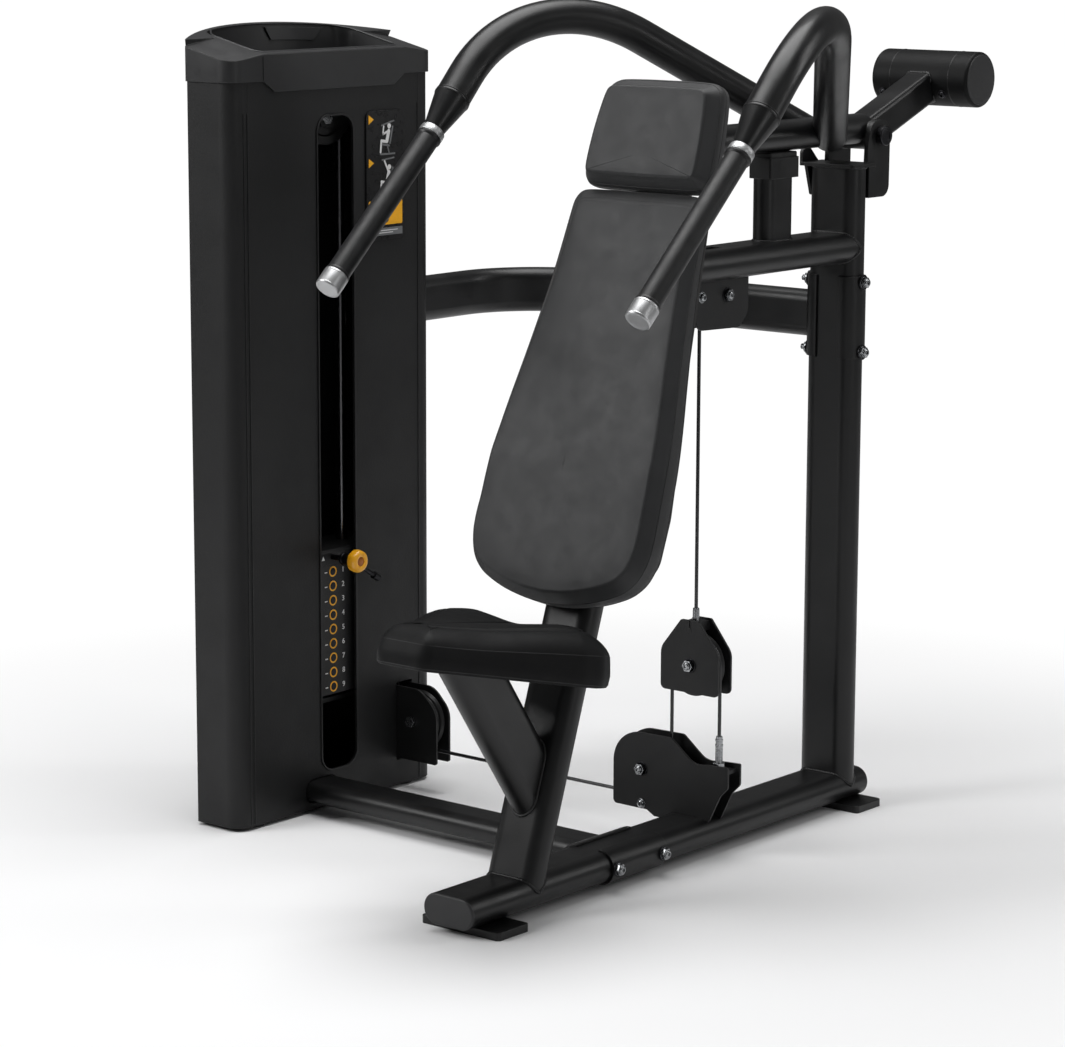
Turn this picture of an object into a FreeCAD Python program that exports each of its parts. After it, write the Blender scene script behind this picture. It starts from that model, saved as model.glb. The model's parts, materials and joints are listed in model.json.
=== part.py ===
import FreeCAD, Part
import Sketcher
import math
import os

# Selectorised shoulder press machine.
# Frame of the model: +Z up, the user faces -Y, the weight tower stands at -X.
# Origin: on the floor, under the centre of the front foot plate, on the machine's centre plane.
# Stations along Y below are measured from the front face of the floor beam and shifted
# by beam_overhang, so that the foot plate's centre falls on the origin.

V = FreeCAD.Vector
doc = FreeCAD.newDocument("shoulder_press")
sheet = doc.addObject("Spreadsheet::Sheet", "Sizes")

DIMS = [
    ("beam_overhang", 64.0, "front face of floor beam to centre of front foot plate"),
    ("oval_wide", 100.0, "main flat-oval tube, wide side"),
    ("oval_thick", 50.0, "main flat-oval tube, narrow side"),
    ("wall", 3.0, "tube wall"),
    ("cross_wide", 80.0, "cross tube, wide side"),
    ("cross_thick", 40.0, "cross tube, narrow side"),
    ("beam_axis_z", 38.0, "floor beam axis height"),
    ("beam_len", 1054.0, "floor beam length between caps"),
    ("cap_thk", 5.0, "end cap thickness"),
    ("foot_len", 158.0, "foot plate along X"),
    ("foot_wid", 74.0, "foot plate along Y"),
    ("foot_thk", 13.0, "foot plate thickness"),
    ("foot_hole", 9.0, "drain hole diameter"),
    ("upright_y", 1011.0, "upright centre station"),
    ("upright_top", 1113.0, "upright top height"),
    ("upper_axis_z", 978.0, "upper beam axis height"),
    ("back_lean", 19.05, "lean of back tube from vertical, degrees"),
    ("back_foot_y", 172.5, "station of the back tube axis point"),
    ("back_foot_z", 82.5, "height of the back tube axis point"),
    ("back_up", 1150.0, "back tube length above its axis point"),
    ("strut_lean", 35.2, "lean of seat strut from vertical, degrees"),
    ("strut_y", 66.0, "station of strut axis point"),
    ("strut_z", 389.5, "height of strut axis point"),
    ("cross_y", 411.0, "floor cross tube station"),
    ("cross_z", 860.0, "upper cross tube axis height"),
    ("clamp_len", 140.0, "clamp plate length"),
    ("clamp_thk", 4.0, "clamp plate thickness"),
    ("bolt_gap", 119.0, "distance between the two clamp bolts"),
    ("bolt_dia", 10.0, "clamp bolt shank"),
    ("bolt_head", 17.0, "clamp bolt head across flats"),
    ("post_y", 820.0, "stop post station"),
    ("pivot_y", 1070.0, "press arm pivot station"),
    ("pivot_z", 1164.0, "press arm pivot height"),
    ("pin_dia", 20.0, "pivot pin diameter"),
    ("hub_dia", 50.0, "pivot hub outside diameter"),
    ("hub_len", 71.6, "pivot hub length"),
    ("spine_axis_z", 1174.0, "spine axis height"),
    ("arm_dia", 58.0, "press arm tube diameter"),
    ("arm_bend", 255.0, "press arm bend radius"),
    ("grip_dia", 38.0, "grip diameter"),
    ("grip_len", 298.0, "grip length"),
    ("pulley_od", 105.0, "pulley outside diameter"),
    ("pulley_groove", 91.6, "pulley groove bottom diameter"),
    ("pulley_wid", 24.0, "pulley width"),
    ("pulley_bore", 12.1, "pulley bore"),
    ("small_od", 90.0, "tower top pulley outside diameter"),
    ("small_wid", 16.0, "tower top pulley width"),
    ("small_groove", 73.6, "tower top pulley groove bottom diameter"),
    ("axle_dia", 12.0, "pulley axle diameter"),
    ("cable_dia", 6.0, "cable diameter"),
    ("cable_y", 625.0, "station of the pulley plane"),
    ("plate_pitch", 25.4, "weight plate pitch"),
    ("plate_thk", 25.2, "weight plate thickness"),
    ("plate_len", 320.0, "weight plate along Y"),
    ("plate_dep", 104.0, "weight plate along X"),
    ("rod_dia", 20.0, "guide rod diameter"),
    ("rod_gap", 180.0, "guide rod spacing"),
    ("tower_x", -645.0, "tower inner face"),
    ("tower_y", 455.0, "tower centre station"),
    ("tower_len", 498.0, "tower along Y"),
    ("tower_side", 98.0, "width of the tower's end faces"),
    ("tower_bulge", 76.0, "bulge of the outer side"),
    ("tower_top", 1261.7, "top of the tower shells"),
    ("sheet_thk", 3.0, "tower shell thickness"),
    ("stud_len", 62.0, "cable anchor stud length"),
]
P = {}
for i, (name, val, note) in enumerate(DIMS):
    r = i + 1
    sheet.set("A%d" % r, note)
    sheet.set("B%d" % r, repr(val))
    sheet.setAlias("B%d" % r, name)
    P[name] = val
doc.recompute()


def ex(a):
    """Expression text: an alias or a formula in aliases written with a leading =."""
    if a.startswith("="):
        out, word = "", ""
        for c in a[1:] + " ":
            if c.isalpha() or c == "_":
                word += c
            else:
                if word:
                    out += ("Sizes." + word) if word in P else word
                    word = ""
                out += c
        return out.strip()
    return "Sizes." + a


def yy(station):
    return station - P["beam_overhang"]


def place(o, x, z):
    """Placement whose local X runs along x and local Z along z, at o."""
    o, x, z = V(*o), V(*x), V(*z)
    z.normalize()
    x = x - z * x.dot(z)
    x.normalize()
    y = z.cross(x)
    m = FreeCAD.Matrix(x.x, y.x, z.x, o.x, x.y, y.y, z.y, o.y, x.z, y.z, z.z, o.z, 0, 0, 0, 1)
    return FreeCAD.Placement(m)


def new_body(label, pl=None):
    b = doc.addObject("PartDesign::Body", label)
    b.Label = label
    if pl is not None:
        b.Placement = pl
    return b


def sketch(b, role="XY_Plane", name="Sketch", dz=0.0):
    s = b.newObject("Sketcher::SketchObject", name)
    plane = [f for f in b.Origin.OriginFeatures if f.Role == role][0]
    s.AttachmentSupport = [(plane, "")]
    s.MapMode = "FlatFace"
    if dz:
        s.AttachmentOffset = FreeCAD.Placement(V(0, 0, dz), FreeCAD.Rotation())
    return s


def con(s, *a):
    return s.addConstraint(Sketcher.Constraint(*a))


def bind(s, idx, name, expr):
    s.renameConstraint(idx, name)
    s.setExpression("Constraints." + name, ex(expr))


def val(expr):
    """Number for an alias or a formula."""
    if expr in P:
        return P[expr]
    t = expr[1:] if expr.startswith("=") else expr
    total = 0.0
    t = t.replace("-", "+-").replace(" ", "")
    for term in t.split("+"):
        if not term:
            continue
        sign = 1.0
        if term[0] == "-":
            sign, term = -1.0, term[1:]
        acc = 1.0
        for f in term.split("*"):
            parts = f.split("/")
            n = P[parts[0]] if parts[0] in P else float(parts[0])
            for d in parts[1:]:
                n /= P[d] if d in P else float(d)
            acc *= n
        total += sign * acc
    return total


def oval(s, wexpr, hexpr, tag):
    """Flat oval centred on the sketch origin, wide along sketch x."""
    w, h = val(wexpr), val(hexpr)
    n = s.GeometryCount
    a, r = (w - h) / 2.0, h / 2.0
    s.addGeometry([
        Part.LineSegment(V(-a, r, 0), V(a, r, 0)),
        Part.ArcOfCircle(Part.Circle(V(a, 0, 0), V(0, 0, 1), r), -math.pi / 2, math.pi / 2),
        Part.LineSegment(V(a, -r, 0), V(-a, -r, 0)),
        Part.ArcOfCircle(Part.Circle(V(-a, 0, 0), V(0, 0, 1), r), math.pi / 2, 3 * math.pi / 2)], False)
    con(s, "Tangent", n, 2, n + 1, 2)
    con(s, "Tangent", n + 1, 1, n + 2, 1)
    con(s, "Tangent", n + 2, 2, n + 3, 2)
    con(s, "Tangent", n + 3, 1, n, 1)
    con(s, "Horizontal", n)
    con(s, "Horizontal", n + 2)
    con(s, "Symmetric", n + 1, 3, n + 3, 3, -1, 1)
    i = con(s, "Radius", n + 1, r)
    bind(s, i, "rad_" + tag, "=(%s)/2" % hexpr.lstrip("="))
    i = con(s, "DistanceX", n + 3, 3, n + 1, 3, 2 * a)
    bind(s, i, "gap_" + tag, "=(%s)-(%s)" % (wexpr.lstrip("="), hexpr.lstrip("=")))


def circ(s, expr, x=0.0, y=0.0, tag="c"):
    n = s.addGeometry(Part.Circle(V(x, y, 0), V(0, 0, 1), val(expr) / 2.0), False)
    i = con(s, "Diameter", n, val(expr))
    bind(s, i, "dia_" + tag, expr if expr in P else "=" + expr.lstrip("="))
    if abs(x) < 1e-9 and abs(y) < 1e-9:
        con(s, "Coincident", n, 3, -1, 1)
    else:
        con(s, "DistanceX", -1, 1, n, 3, x)
        con(s, "DistanceY", -1, 1, n, 3, y)


def rect(s, wexpr, hexpr, tag="r"):
    w, h = val(wexpr) / 2.0, val(hexpr) / 2.0
    n = s.GeometryCount
    c = [V(-w, -h, 0), V(w, -h, 0), V(w, h, 0), V(-w, h, 0)]
    s.addGeometry([Part.LineSegment(c[k], c[(k + 1) % 4]) for k in range(4)], False)
    for k in range(4):
        con(s, "Coincident", n + k, 2, n + (k + 1) % 4, 1)
    con(s, "Horizontal", n)
    con(s, "Horizontal", n + 2)
    con(s, "Vertical", n + 1)
    con(s, "Vertical", n + 3)
    con(s, "Symmetric", n, 1, n + 1, 2, -1, 1)
    bind(s, con(s, "DistanceX", n, 1, n, 2, 2 * w), "wid_" + tag, wexpr if wexpr in P else "=" + wexpr.lstrip("="))
    bind(s, con(s, "DistanceY", n + 1, 1, n + 1, 2, 2 * h), "hgt_" + tag, hexpr if hexpr in P else "=" + hexpr.lstrip("="))


def fillet_pts(pts, rads):
    """Corner list with radii -> list of edges (line, arc) as geometry tuples."""
    n = len(pts)
    out = []
    starts, ends, arcs = [None] * n, [None] * n, [None] * n
    for k in range(n):
        p, a, b = V(pts[k][0], pts[k][1], 0), V(pts[k - 1][0], pts[k - 1][1], 0), V(pts[(k + 1) % n][0], pts[(k + 1) % n][1], 0)
        r = rads[k] if isinstance(rads, (list, tuple)) else rads
        if r <= 0:
            starts[k] = ends[k] = p
            continue
        u, w = (a - p), (b - p)
        u.normalize()
        w.normalize()
        ang = u.getAngle(w)
        if abs(ang - math.pi) < 1e-3:
            starts[k] = ends[k] = p
            continue
        d = r / math.tan(ang / 2)
        t1, t2 = p + u * d, p + w * d
        bis = u + w
        bis.normalize()
        c = p + bis * (r / math.sin(ang / 2))
        mid = c - bis * r
        starts[k], ends[k], arcs[k] = t1, t2, (t1, mid, t2)
    for k in range(n):
        if arcs[k]:
            out.append(("a",) + arcs[k])
        q = starts[(k + 1) % n]
        if (q - ends[k]).Length > 1e-6:
            out.append(("l", ends[k], q))
    return out


def outline(s, pts, rads=0.0):
    """Closed outline with rounded corners."""
    g = []
    for e in fillet_pts(pts, rads):
        if e[0] == "l":
            g.append(Part.LineSegment(e[1], e[2]))
        else:
            g.append(Part.Arc(e[1], e[2], e[3]))
    s.addGeometry(g, False)
    return s


def pad(b, s, length, name="Pad", mid=False, rev=False):
    f = b.newObject("PartDesign::Pad", name)
    f.Profile = s
    f.Length = val(length) if isinstance(length, str) else length
    if isinstance(length, str):
        f.setExpression("Length", ex(length if length in P else "=" + length.lstrip("=")))
    if mid:
        f.SideType = "Symmetric"
    f.Reversed = rev
    b.Tip = f
    return f


def through(b, s, name="Pocket"):
    """Pocket both ways through the whole body; the removed volume is checked."""
    doc.recompute()
    before = b.Shape.Volume
    f = b.newObject("PartDesign::Pocket", name)
    f.Profile = s
    f.Type = "ThroughAll"
    f.SideType = "Symmetric"
    b.Tip = f
    doc.recompute()
    if not b.Shape.Volume < before - 1e-3:
        raise RuntimeError("pocket cuts nothing: " + b.Label)
    return f


def fillet(b, feat, pick, r, kind="PartDesign::Fillet"):
    doc.recompute()
    names = ["Edge%d" % (k + 1) for k, e in enumerate(feat.Shape.Edges) if pick(e)]
    if not names:
        raise RuntimeError("no edges to round on " + b.Label)
    f = b.newObject(kind, "Round")
    f.Base = (feat, names)
    if kind.endswith("Fillet"):
        f.Radius = r
    else:
        f.Size = r
    b.Tip = f
    doc.recompute()
    return f


def oval_tube(label, o, xdir, zdir, length, wide="oval_wide", thick="oval_thick", solid=False):
    b = new_body(label, place(o, xdir, zdir))
    s = sketch(b)
    oval(s, wide, thick, "out")
    if not solid:
        oval(s, "=%s-wall-wall" % wide.lstrip("="), "=%s-wall-wall" % thick.lstrip("="), "in")
    pad(b, s, length)
    return b


def cut(label, base, tools):
    """Base minus each tool, as Part::Cut objects; the last one carries the label."""
    cur = base
    for k, t in enumerate(tools):
        c = doc.addObject("Part::Cut", "%s_cut%d" % (label, k))
        c.Base = cur
        c.Tool = t
        c.Refine = True
        cur = c
    base.Label = label + "_blank"
    cur.Label = label
    return cur


def fuse(label, objs):
    f = doc.addObject("Part::MultiFuse", label + "_fuse")
    f.Shapes = objs
    f.Refine = True
    for k, ob in enumerate(objs):
        ob.Label = "%s_piece%d" % (label, k)
    f.Label = label
    return f


def cyl(label, o, d, r, length):
    c = doc.addObject("Part::Cylinder", label)
    c.Label = label
    if isinstance(r, str):
        c.Radius = val(r)
        c.setExpression("Radius", ex("=" + r.lstrip("=")))
    else:
        c.Radius = r
    if isinstance(length, str):
        c.Height = val(length)
        c.setExpression("Height", ex(length if length in P else "=" + length.lstrip("=")))
    else:
        c.Height = length
    zd = V(*d)
    xd = V(1, 0, 0) if abs(zd.x) < 0.9 * zd.Length else V(0, 1, 0)
    c.Placement = place(o, (xd.x, xd.y, xd.z), d)
    return c


def box(label, lo, hi):
    c = doc.addObject("Part::Box", label)
    c.Label = label
    c.Length, c.Width, c.Height = hi[0] - lo[0], hi[1] - lo[1], hi[2] - lo[2]
    c.Placement = FreeCAD.Placement(V(*lo), FreeCAD.Rotation())
    return c


def box_in(label, lo, hi, pl):
    """Box given in the frame of a placement."""
    c = box(label, (0, 0, 0), (hi[0] - lo[0], hi[1] - lo[1], hi[2] - lo[2]))
    c.Placement = pl.multiply(FreeCAD.Placement(V(*lo), FreeCAD.Rotation()))
    return c


def group(label, shapes):
    """Several separate solids of one kind in one node."""
    o = doc.addObject("Part::Compound", label)
    o.Links = shapes
    for k, ob in enumerate(shapes):
        ob.Label = "%s_%d" % (label, k + 1)
    o.Label = label
    return o


def feature(label, shape):
    o = doc.addObject("Part::Feature", label)
    o.Shape = shape
    o.Label = label
    o.Placement = FreeCAD.Placement()
    return o


OUT = []


def keep(o):
    OUT.append(o)
    return o


X, Y, Z = (1, 0, 0), (0, 1, 0), (0, 0, 1)
beam_z = P["beam_axis_z"]
lean = math.radians(P["back_lean"])
UP = V(0, math.sin(lean), math.cos(lean))          # along the back tube, upwards
FW = V(0, -math.cos(lean), math.sin(lean))         # square to the back tube, towards the user
A0 = V(0, yy(P["back_foot_y"]), P["back_foot_z"])  # point on the back tube's axis

# ---------------------------------------------------------------- floor beam and feet
beam_s = oval_tube("beam_space", (0, yy(5), beam_z), (-1, 0, 0), Y, "beam_len", solid=True)
up_s = oval_tube("upright_space", (0, yy(P["upright_y"]), beam_z), X, Z, "=upright_top-beam_axis_z", solid=True)
back_s = oval_tube("back_space", tuple(A0 - UP * 60), X, tuple(UP), "=back_up+60", solid=True)


def bolt_holes_x(stations_yz, tag):
    out = []
    for k, (y, z) in enumerate(stations_yz):
        out.append(cyl("%s_hole%d" % (tag, k), (-90, y, z), X, "=bolt_dia/2+0.2", 180))
    return out


low_bolts = [(yy(P["cross_y"]) - P["bolt_gap"] / 2, beam_z), (yy(P["cross_y"]) + P["bolt_gap"] / 2, beam_z)]
top_bolts = [(yy(P["upright_y"]), P["cross_z"] - P["bolt_gap"] / 2), (yy(P["upright_y"]), P["cross_z"] + P["bolt_gap"] / 2)]

beam = oval_tube("main_beam", (0, yy(5), beam_z), (-1, 0, 0), Y, "beam_len")
keep(cut("main_beam", beam, bolt_holes_x(low_bolts, "beam")))


def end_cap(label, y, d):
    b = new_body(label, place((0, y, beam_z), (-d, 0, 0), (0, d, 0)))
    s = sketch(b)
    oval(s, "oval_wide", "oval_thick", "cap")
    f = pad(b, s, "cap_thk")
    s2 = sketch(b, name="Plug")
    oval(s2, "=oval_wide-wall-wall-1", "=oval_thick-wall-wall-1", "plug")
    f2 = pad(b, s2, 18.0, name="PlugPad", rev=True)
    t = P["cap_thk"]
    fillet(b, f2, lambda e: abs(e.BoundBox.ZMin - t) < 1e-4 and abs(e.BoundBox.ZMax - t) < 1e-4, 3.5)
    return b


keep(group("beam_end_caps", [end_cap("cap_a", yy(5), -1), end_cap("cap_b", yy(5) + P["beam_len"], 1)]))


def foot(label, y):
    b = new_body(label, place((0, y, 0), X, Z))
    s = sketch(b)
    rect(s, "foot_len", "foot_wid", "foot")
    f = pad(b, s, "foot_thk")
    g = fillet(b, f, lambda e: abs(e.BoundBox.ZLength - P["foot_thk"]) < 1e-4, 7.0)
    h = sketch(b, name="Holes")
    circ(h, "foot_hole", 31.5, 0, "a")
    circ(h, "foot_hole", -31.5, 0, "b")
    q = through(b, h)
    fillet(b, q, lambda e: abs(e.BoundBox.ZMin - P["foot_thk"]) < 1e-4 and abs(e.BoundBox.ZMax - P["foot_thk"]) < 1e-4 and e.BoundBox.DiagonalLength > 14, 1.5)
    return b


keep(group("foot_plates", [foot("foot_a", 0.0), foot("foot_b", yy(1026))]))

# ---------------------------------------------------------------- upright, back tube, upper beam
upr = oval_tube("upright", (0, yy(P["upright_y"]), beam_z), X, Z, "=upright_top-beam_axis_z")
keep(cut("upright", upr, [beam_s] + bolt_holes_x(top_bolts, "upright")))

back = oval_tube("back_tube", tuple(A0 - UP * 60), X, tuple(UP), "=back_up+60")
beam_s2 = oval_tube("beam_space_b", (0, yy(5), beam_z), (-1, 0, 0), Y, "beam_len", solid=True)
keep(cut("back_tube", back, [beam_s2, box("below_beam", (-80, -100, -80), (80, 300, P["beam_axis_z"]))]))

upper = oval_tube("upper_beam", (0, yy(480), P["upper_axis_z"]), (-1, 0, 0), Y, "=upright_y-480")
slot = box("cable_slot", (-14, yy(596), 900), (14, yy(728), P["upper_axis_z"] + 8))
slot2 = box("cable_slot_top", (-11, yy(598), 900), (11, yy(668), 1100))
ahead = box_in("ahead_of_tube", (-120, -600, -100), (120, 0, 1400), FreeCAD.Placement(A0, FreeCAD.Rotation(V(1, 0, 0), -P["back_lean"])))
keep(cut("upper_beam", upper, [back_s, up_s, slot, slot2, ahead]))

# ---------------------------------------------------------------- seat strut and seat plate
sl = math.radians(P["strut_lean"])
SD = V(0, math.sin(sl), -math.cos(sl))             # down the strut
S0 = V(0, yy(P["strut_y"]), P["strut_z"])
SEAT_TILT = math.radians(11.5)
seat_n = V(0, math.sin(SEAT_TILT), math.cos(SEAT_TILT))     # square to the seat plane
seat_t = V(0, math.cos(SEAT_TILT), -math.sin(SEAT_TILT))    # along the seat plane, rearwards
SEAT_O = V(0, yy(-108), 439.0)                     # nose of the seat's underside
strut = oval_tube("seat_strut", tuple(S0 - SD * 120), Y, tuple(SD), 420.0)
strut.Placement = place(tuple(S0 - SD * 120), tuple(V(1, 0, 0).cross(SD)), tuple(SD))
back_s2 = oval_tube("back_space_b", tuple(A0 - UP * 60), X, tuple(UP), "=back_up+60", solid=True)
seat_pl = FreeCAD.Placement(SEAT_O - seat_n * 1.0, FreeCAD.Rotation(V(1, 0, 0), -11.5))
above_seat = box_in("above_seat", (-120, -300, 0), (120, 500, 400), seat_pl)
tube_pl = FreeCAD.Placement(A0, FreeCAD.Rotation(V(1, 0, 0), -P["back_lean"]))
behind = box_in("behind_tube", (-120, 0, -600), (120, 600, 900), tube_pl)
strut_c = cut("strut_cut", strut, [above_seat, behind, back_s2])
seat_plate = new_body("seat_plate", place(tuple(SEAT_O + seat_t * 175.0 - seat_n * 1.0), X, tuple(seat_n)))
sp = sketch(seat_plate)
outline(sp, [(-60, -75), (60, -75), (90, 85), (-90, 85)], 14.0)
pad(seat_plate, sp, 6.0)
keep(fuse("seat_strut", [strut_c, seat_plate]))

# ---------------------------------------------------------------- cross tubes and their clamp plates
cy, cz = yy(P["cross_y"]), P["cross_z"]
flx = -P["oval_wide"] / 2 - P["clamp_thk"]
beam_k = oval_tube("clamp_space_a", (0, cy - 150, beam_z), (-1, 0, 0), Y, 300.0, "=oval_wide+clamp_thk+clamp_thk", "=oval_thick+clamp_thk+clamp_thk", solid=True)
floor_x = oval_tube("floor_cross_tube", (flx + 30, cy, beam_z), Y, (-1, 0, 0), 661.0, "cross_wide", "cross_thick")
keep(cut("floor_cross_tube", floor_x, [beam_k]))


def clamp_half(label, axis_o, xdir, zdir, side):
    """Half shell that wraps one round side of a flat-oval tube."""
    L = P["clamp_len"]
    b = new_body(label, place(axis_o, xdir, zdir))
    s = sketch(b)
    oval(s, "=oval_wide+clamp_thk+clamp_thk", "=oval_thick+clamp_thk+clamp_thk", "out")
    oval(s, "=oval_wide+0.1", "=oval_thick+0.1", "in")
    pad(b, s, "clamp_len", mid=True)
    # keep only one side
    k = sketch(b, name="Half")
    w = 80.0
    if side > 0:
        outline(k, [(-w, -w), (22, -w), (22, w), (-w, w)])
    else:
        outline(k, [(-22, -w), (w, -w), (w, w), (-22, w)])
    through(b, k)
    return b


ca = clamp_half("clamp_a", (0, cy, beam_z), X, (0, -1, 0), 1)
cb = clamp_half("clamp_b", (0, cy, beam_z), X, (0, -1, 0), -1)
cc = clamp_half("clamp_c", (0, yy(P["upright_y"]), cz), X, Z, 1)
cd = clamp_half("clamp_d", (0, yy(P["upright_y"]), cz), X, Z, -1)
ca = cut("clamp_a", ca, bolt_holes_x(low_bolts, "ca"))
cb = cut("clamp_b", cb, bolt_holes_x(low_bolts, "cb"))
cc = cut("clamp_c", cc, bolt_holes_x(top_bolts, "cc"))
cd = cut("clamp_d", cd, bolt_holes_x(top_bolts, "cd"))
keep(group("clamp_plates", [ca, cb, cc, cd]))


def hexpts(af, rot=0.0):
    r = af / math.sqrt(3.0)
    return [(r * math.cos(math.radians(60 * k + rot)), r * math.sin(math.radians(60 * k + rot))) for k in range(6)]


def through_bolt(label, y, z):
    """Bolt along X with a hexagon head on the inner side and a nut on the outer side."""
    x0 = P["oval_wide"] / 2 + P["clamp_thk"]
    b = new_body(label, place((-x0 - 12, y, z), Y, X))
    s = sketch(b)
    circ(s, "bolt_dia", 0, 0, "sh")
    pad(b, s, "=oval_wide+clamp_thk+clamp_thk+12")
    h = sketch(b, name="Head", dz=2 * x0 + 12)
    outline(h, hexpts(P["bolt_head"]))
    pad(b, h, 8.0, name="HeadPad")
    n = sketch(b, name="Nut", dz=12)
    outline(n, hexpts(P["bolt_head"]))
    pad(b, n, 8.0, name="NutPad", rev=True)
    w = sketch(b, name="Washer", dz=2 * x0 + 12)
    circ(w, "=bolt_head+3", 0, 0, "wa")
    pad(b, w, 1.6, name="WasherPad")
    return b


keep(group("joint_bolts", [through_bolt("bolt_%d" % k, y, z) for k, (y, z) in enumerate(low_bolts + top_bolts)]))

# upper cross tube: leaves the tower along +Y, turns and meets the upright's side
ux = -690.0
ys = yy(P["tower_y"] + P["tower_len"] / 2 - 40)
uc = new_body("upper_cross_tube", place((ux, ys, cz), Y, Z))
bend = 170.0
sp = sketch(uc, name="Path")
L1 = yy(P["upright_y"]) - ys - bend
L2 = flx + 30 - (ux + bend)
sp.addGeometry([Part.LineSegment(V(0, 0, 0), V(L1, 0, 0)),
                Part.Arc(V(L1, 0, 0), V(L1 + bend * math.sin(math.pi / 4), -bend * (1 - math.cos(math.pi / 4)), 0), V(L1 + bend, -bend, 0)),
                Part.LineSegment(V(L1 + bend, -bend, 0), V(L1 + bend, -bend - L2, 0))], False)
pr = sketch(uc, "YZ_Plane", "Section")
w, hgt, t = P["cross_thick"], P["cross_wide"], P["wall"]
for (ww, hh) in ((w, hgt), (w - 2 * t, hgt - 2 * t)):
    a, r = (hh - ww) / 2, ww / 2
    n = pr.GeometryCount
    pr.addGeometry([Part.LineSegment(V(r, -a, 0), V(r, a, 0)),
                    Part.ArcOfCircle(Part.Circle(V(0, a, 0), V(0, 0, 1), r), 0, math.pi),
                    Part.LineSegment(V(-r, a, 0), V(-r, -a, 0)),
                    Part.ArcOfCircle(Part.Circle(V(0, -a, 0), V(0, 0, 1), r), math.pi, 2 * math.pi)], False)
    con(pr, "Tangent", n, 2, n + 1, 1)
    con(pr, "Tangent", n + 1, 2, n + 2, 1)
    con(pr, "Tangent", n + 2, 2, n + 3, 1)
    con(pr, "Tangent", n + 3, 2, n, 1)
    con(pr, "Vertical", n)
    con(pr, "Vertical", n + 2)
    con(pr, "Symmetric", n + 1, 3, n + 3, 3, -1, 1)
    inner = ww < w
    bind(pr, con(pr, "Radius", n + 1, r), "rad%d" % n, "=cross_thick/2-wall" if inner else "=cross_thick/2")
    bind(pr, con(pr, "DistanceY", n + 3, 3, n + 1, 3, 2 * a), "gap%d" % n, "=cross_wide-cross_thick")
pp = uc.newObject("PartDesign::AdditivePipe", "Sweep")
pp.Profile = pr
pp.Spine = (sp, ["Edge1", "Edge2", "Edge3"])
uc.Tip = pp
up_k = oval_tube("clamp_space_b", (0, yy(P["upright_y"]), cz - 150), X, Z, 300.0, "=oval_wide+clamp_thk+clamp_thk", "=oval_thick+clamp_thk+clamp_thk", solid=True)
keep(cut("upper_cross_tube", uc, [up_k]))

# ---------------------------------------------------------------- stop post, stop block
upper_s = oval_tube("upper_space", (0, yy(480), P["upper_axis_z"]), (-1, 0, 0), Y, "=upright_y-480", solid=True)
post = oval_tube("stop_post", (0, yy(P["post_y"]), P["upper_axis_z"]), Y, Z, 133.0, "cross_wide", "cross_thick")
post_c = cut("post_c", post, [upper_s])
blk = new_body("stop_head", place((0, yy(P["post_y"] + 3), 1106), X, Z))
s = sketch(blk)
outline(s, [(-23, -40), (23, -40), (23, 40), (-23, 40)], 4.0)
f = pad(blk, s, 34.0)
# the post stops under the block
post_t = cut("post_t", post_c, [box("over_post", (-60, yy(700), 1106), (60, yy(960), 1200))])
keep(fuse("stop_post", [post_t, blk]))
rub = new_body("stop_rubber", place((0, yy(P["post_y"] + 3), 1140), X, Z))
s = sketch(rub)
outline(s, [(-21, -38), (21, -38), (21, 38), (-21, 38)], 5.0)
f = pad(rub, s, 8.7)
fillet(rub, f, lambda e: abs(e.BoundBox.ZMin - 8.7) < 1e-4, 2.5)
keep(rub)

# ---------------------------------------------------------------- pivot bracket and pin
py, pz = yy(P["pivot_y"]), P["pivot_z"]
uy = yy(P["upright_y"])
plate = new_body("pivot_plate", place((0, 0, P["upright_top"]), X, Z))
s = sketch(plate)
outline(s, [(-62, uy - 29), (50, uy - 29), (50, uy + 40), (-62, uy + 40)], 5.0)
pad(plate, s, 6.0)
ears = []
for k, xx in enumerate((-44.0, 36.0)):
    e = new_body("ear%d" % k, place((xx, 0, 0), Y, X))
    s = sketch(e)
    outline(s, [(uy + 25.5, 1060), (uy + 86, 1060), (uy + 87, 1150), (uy + 85, 1190), (uy + 33, 1190), (uy + 22, 1150), (uy + 20, 1113.5), (uy + 25.5, 1113.5)], [0, 20, 30, 24, 22, 6, 0, 0])
    pad(e, s, 8.0)
    ears.append(e)
tab = new_body("front_tab", place((-62, 0, 0), Y, X))
s = sketch(tab)
outline(s, [(uy - 27, 1113), (uy + 20, 1113), (uy + 20, 1119), (uy - 4, 1142), (uy - 22, 1142), (uy - 27, 1136)], [0, 0, 0, 5, 3, 3])
pad(tab, s, 6.0)
gus = new_body("side_gusset", place((-56, 0, 0), Y, X))
s = sketch(gus)
outline(s, [(uy - 22, 1113.5), (uy + 18, 1113.5), (uy + 6, 1062), (uy - 6, 1062)], [0, 0, 5, 5])
pad(gus, s, 6.0)
web = box("rear_web", (-36, uy + 25.5, 1062), (36, uy + 33, 1118))
pb = fuse("pivot_plate_all", [plate] + ears + [tab, gus, web])
pb = cut("pivot_bracket", pb, [cyl("pin_way", (-80, py, pz), X, "=pin_dia/2+0.05", 160)])
keep(pb)

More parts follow.
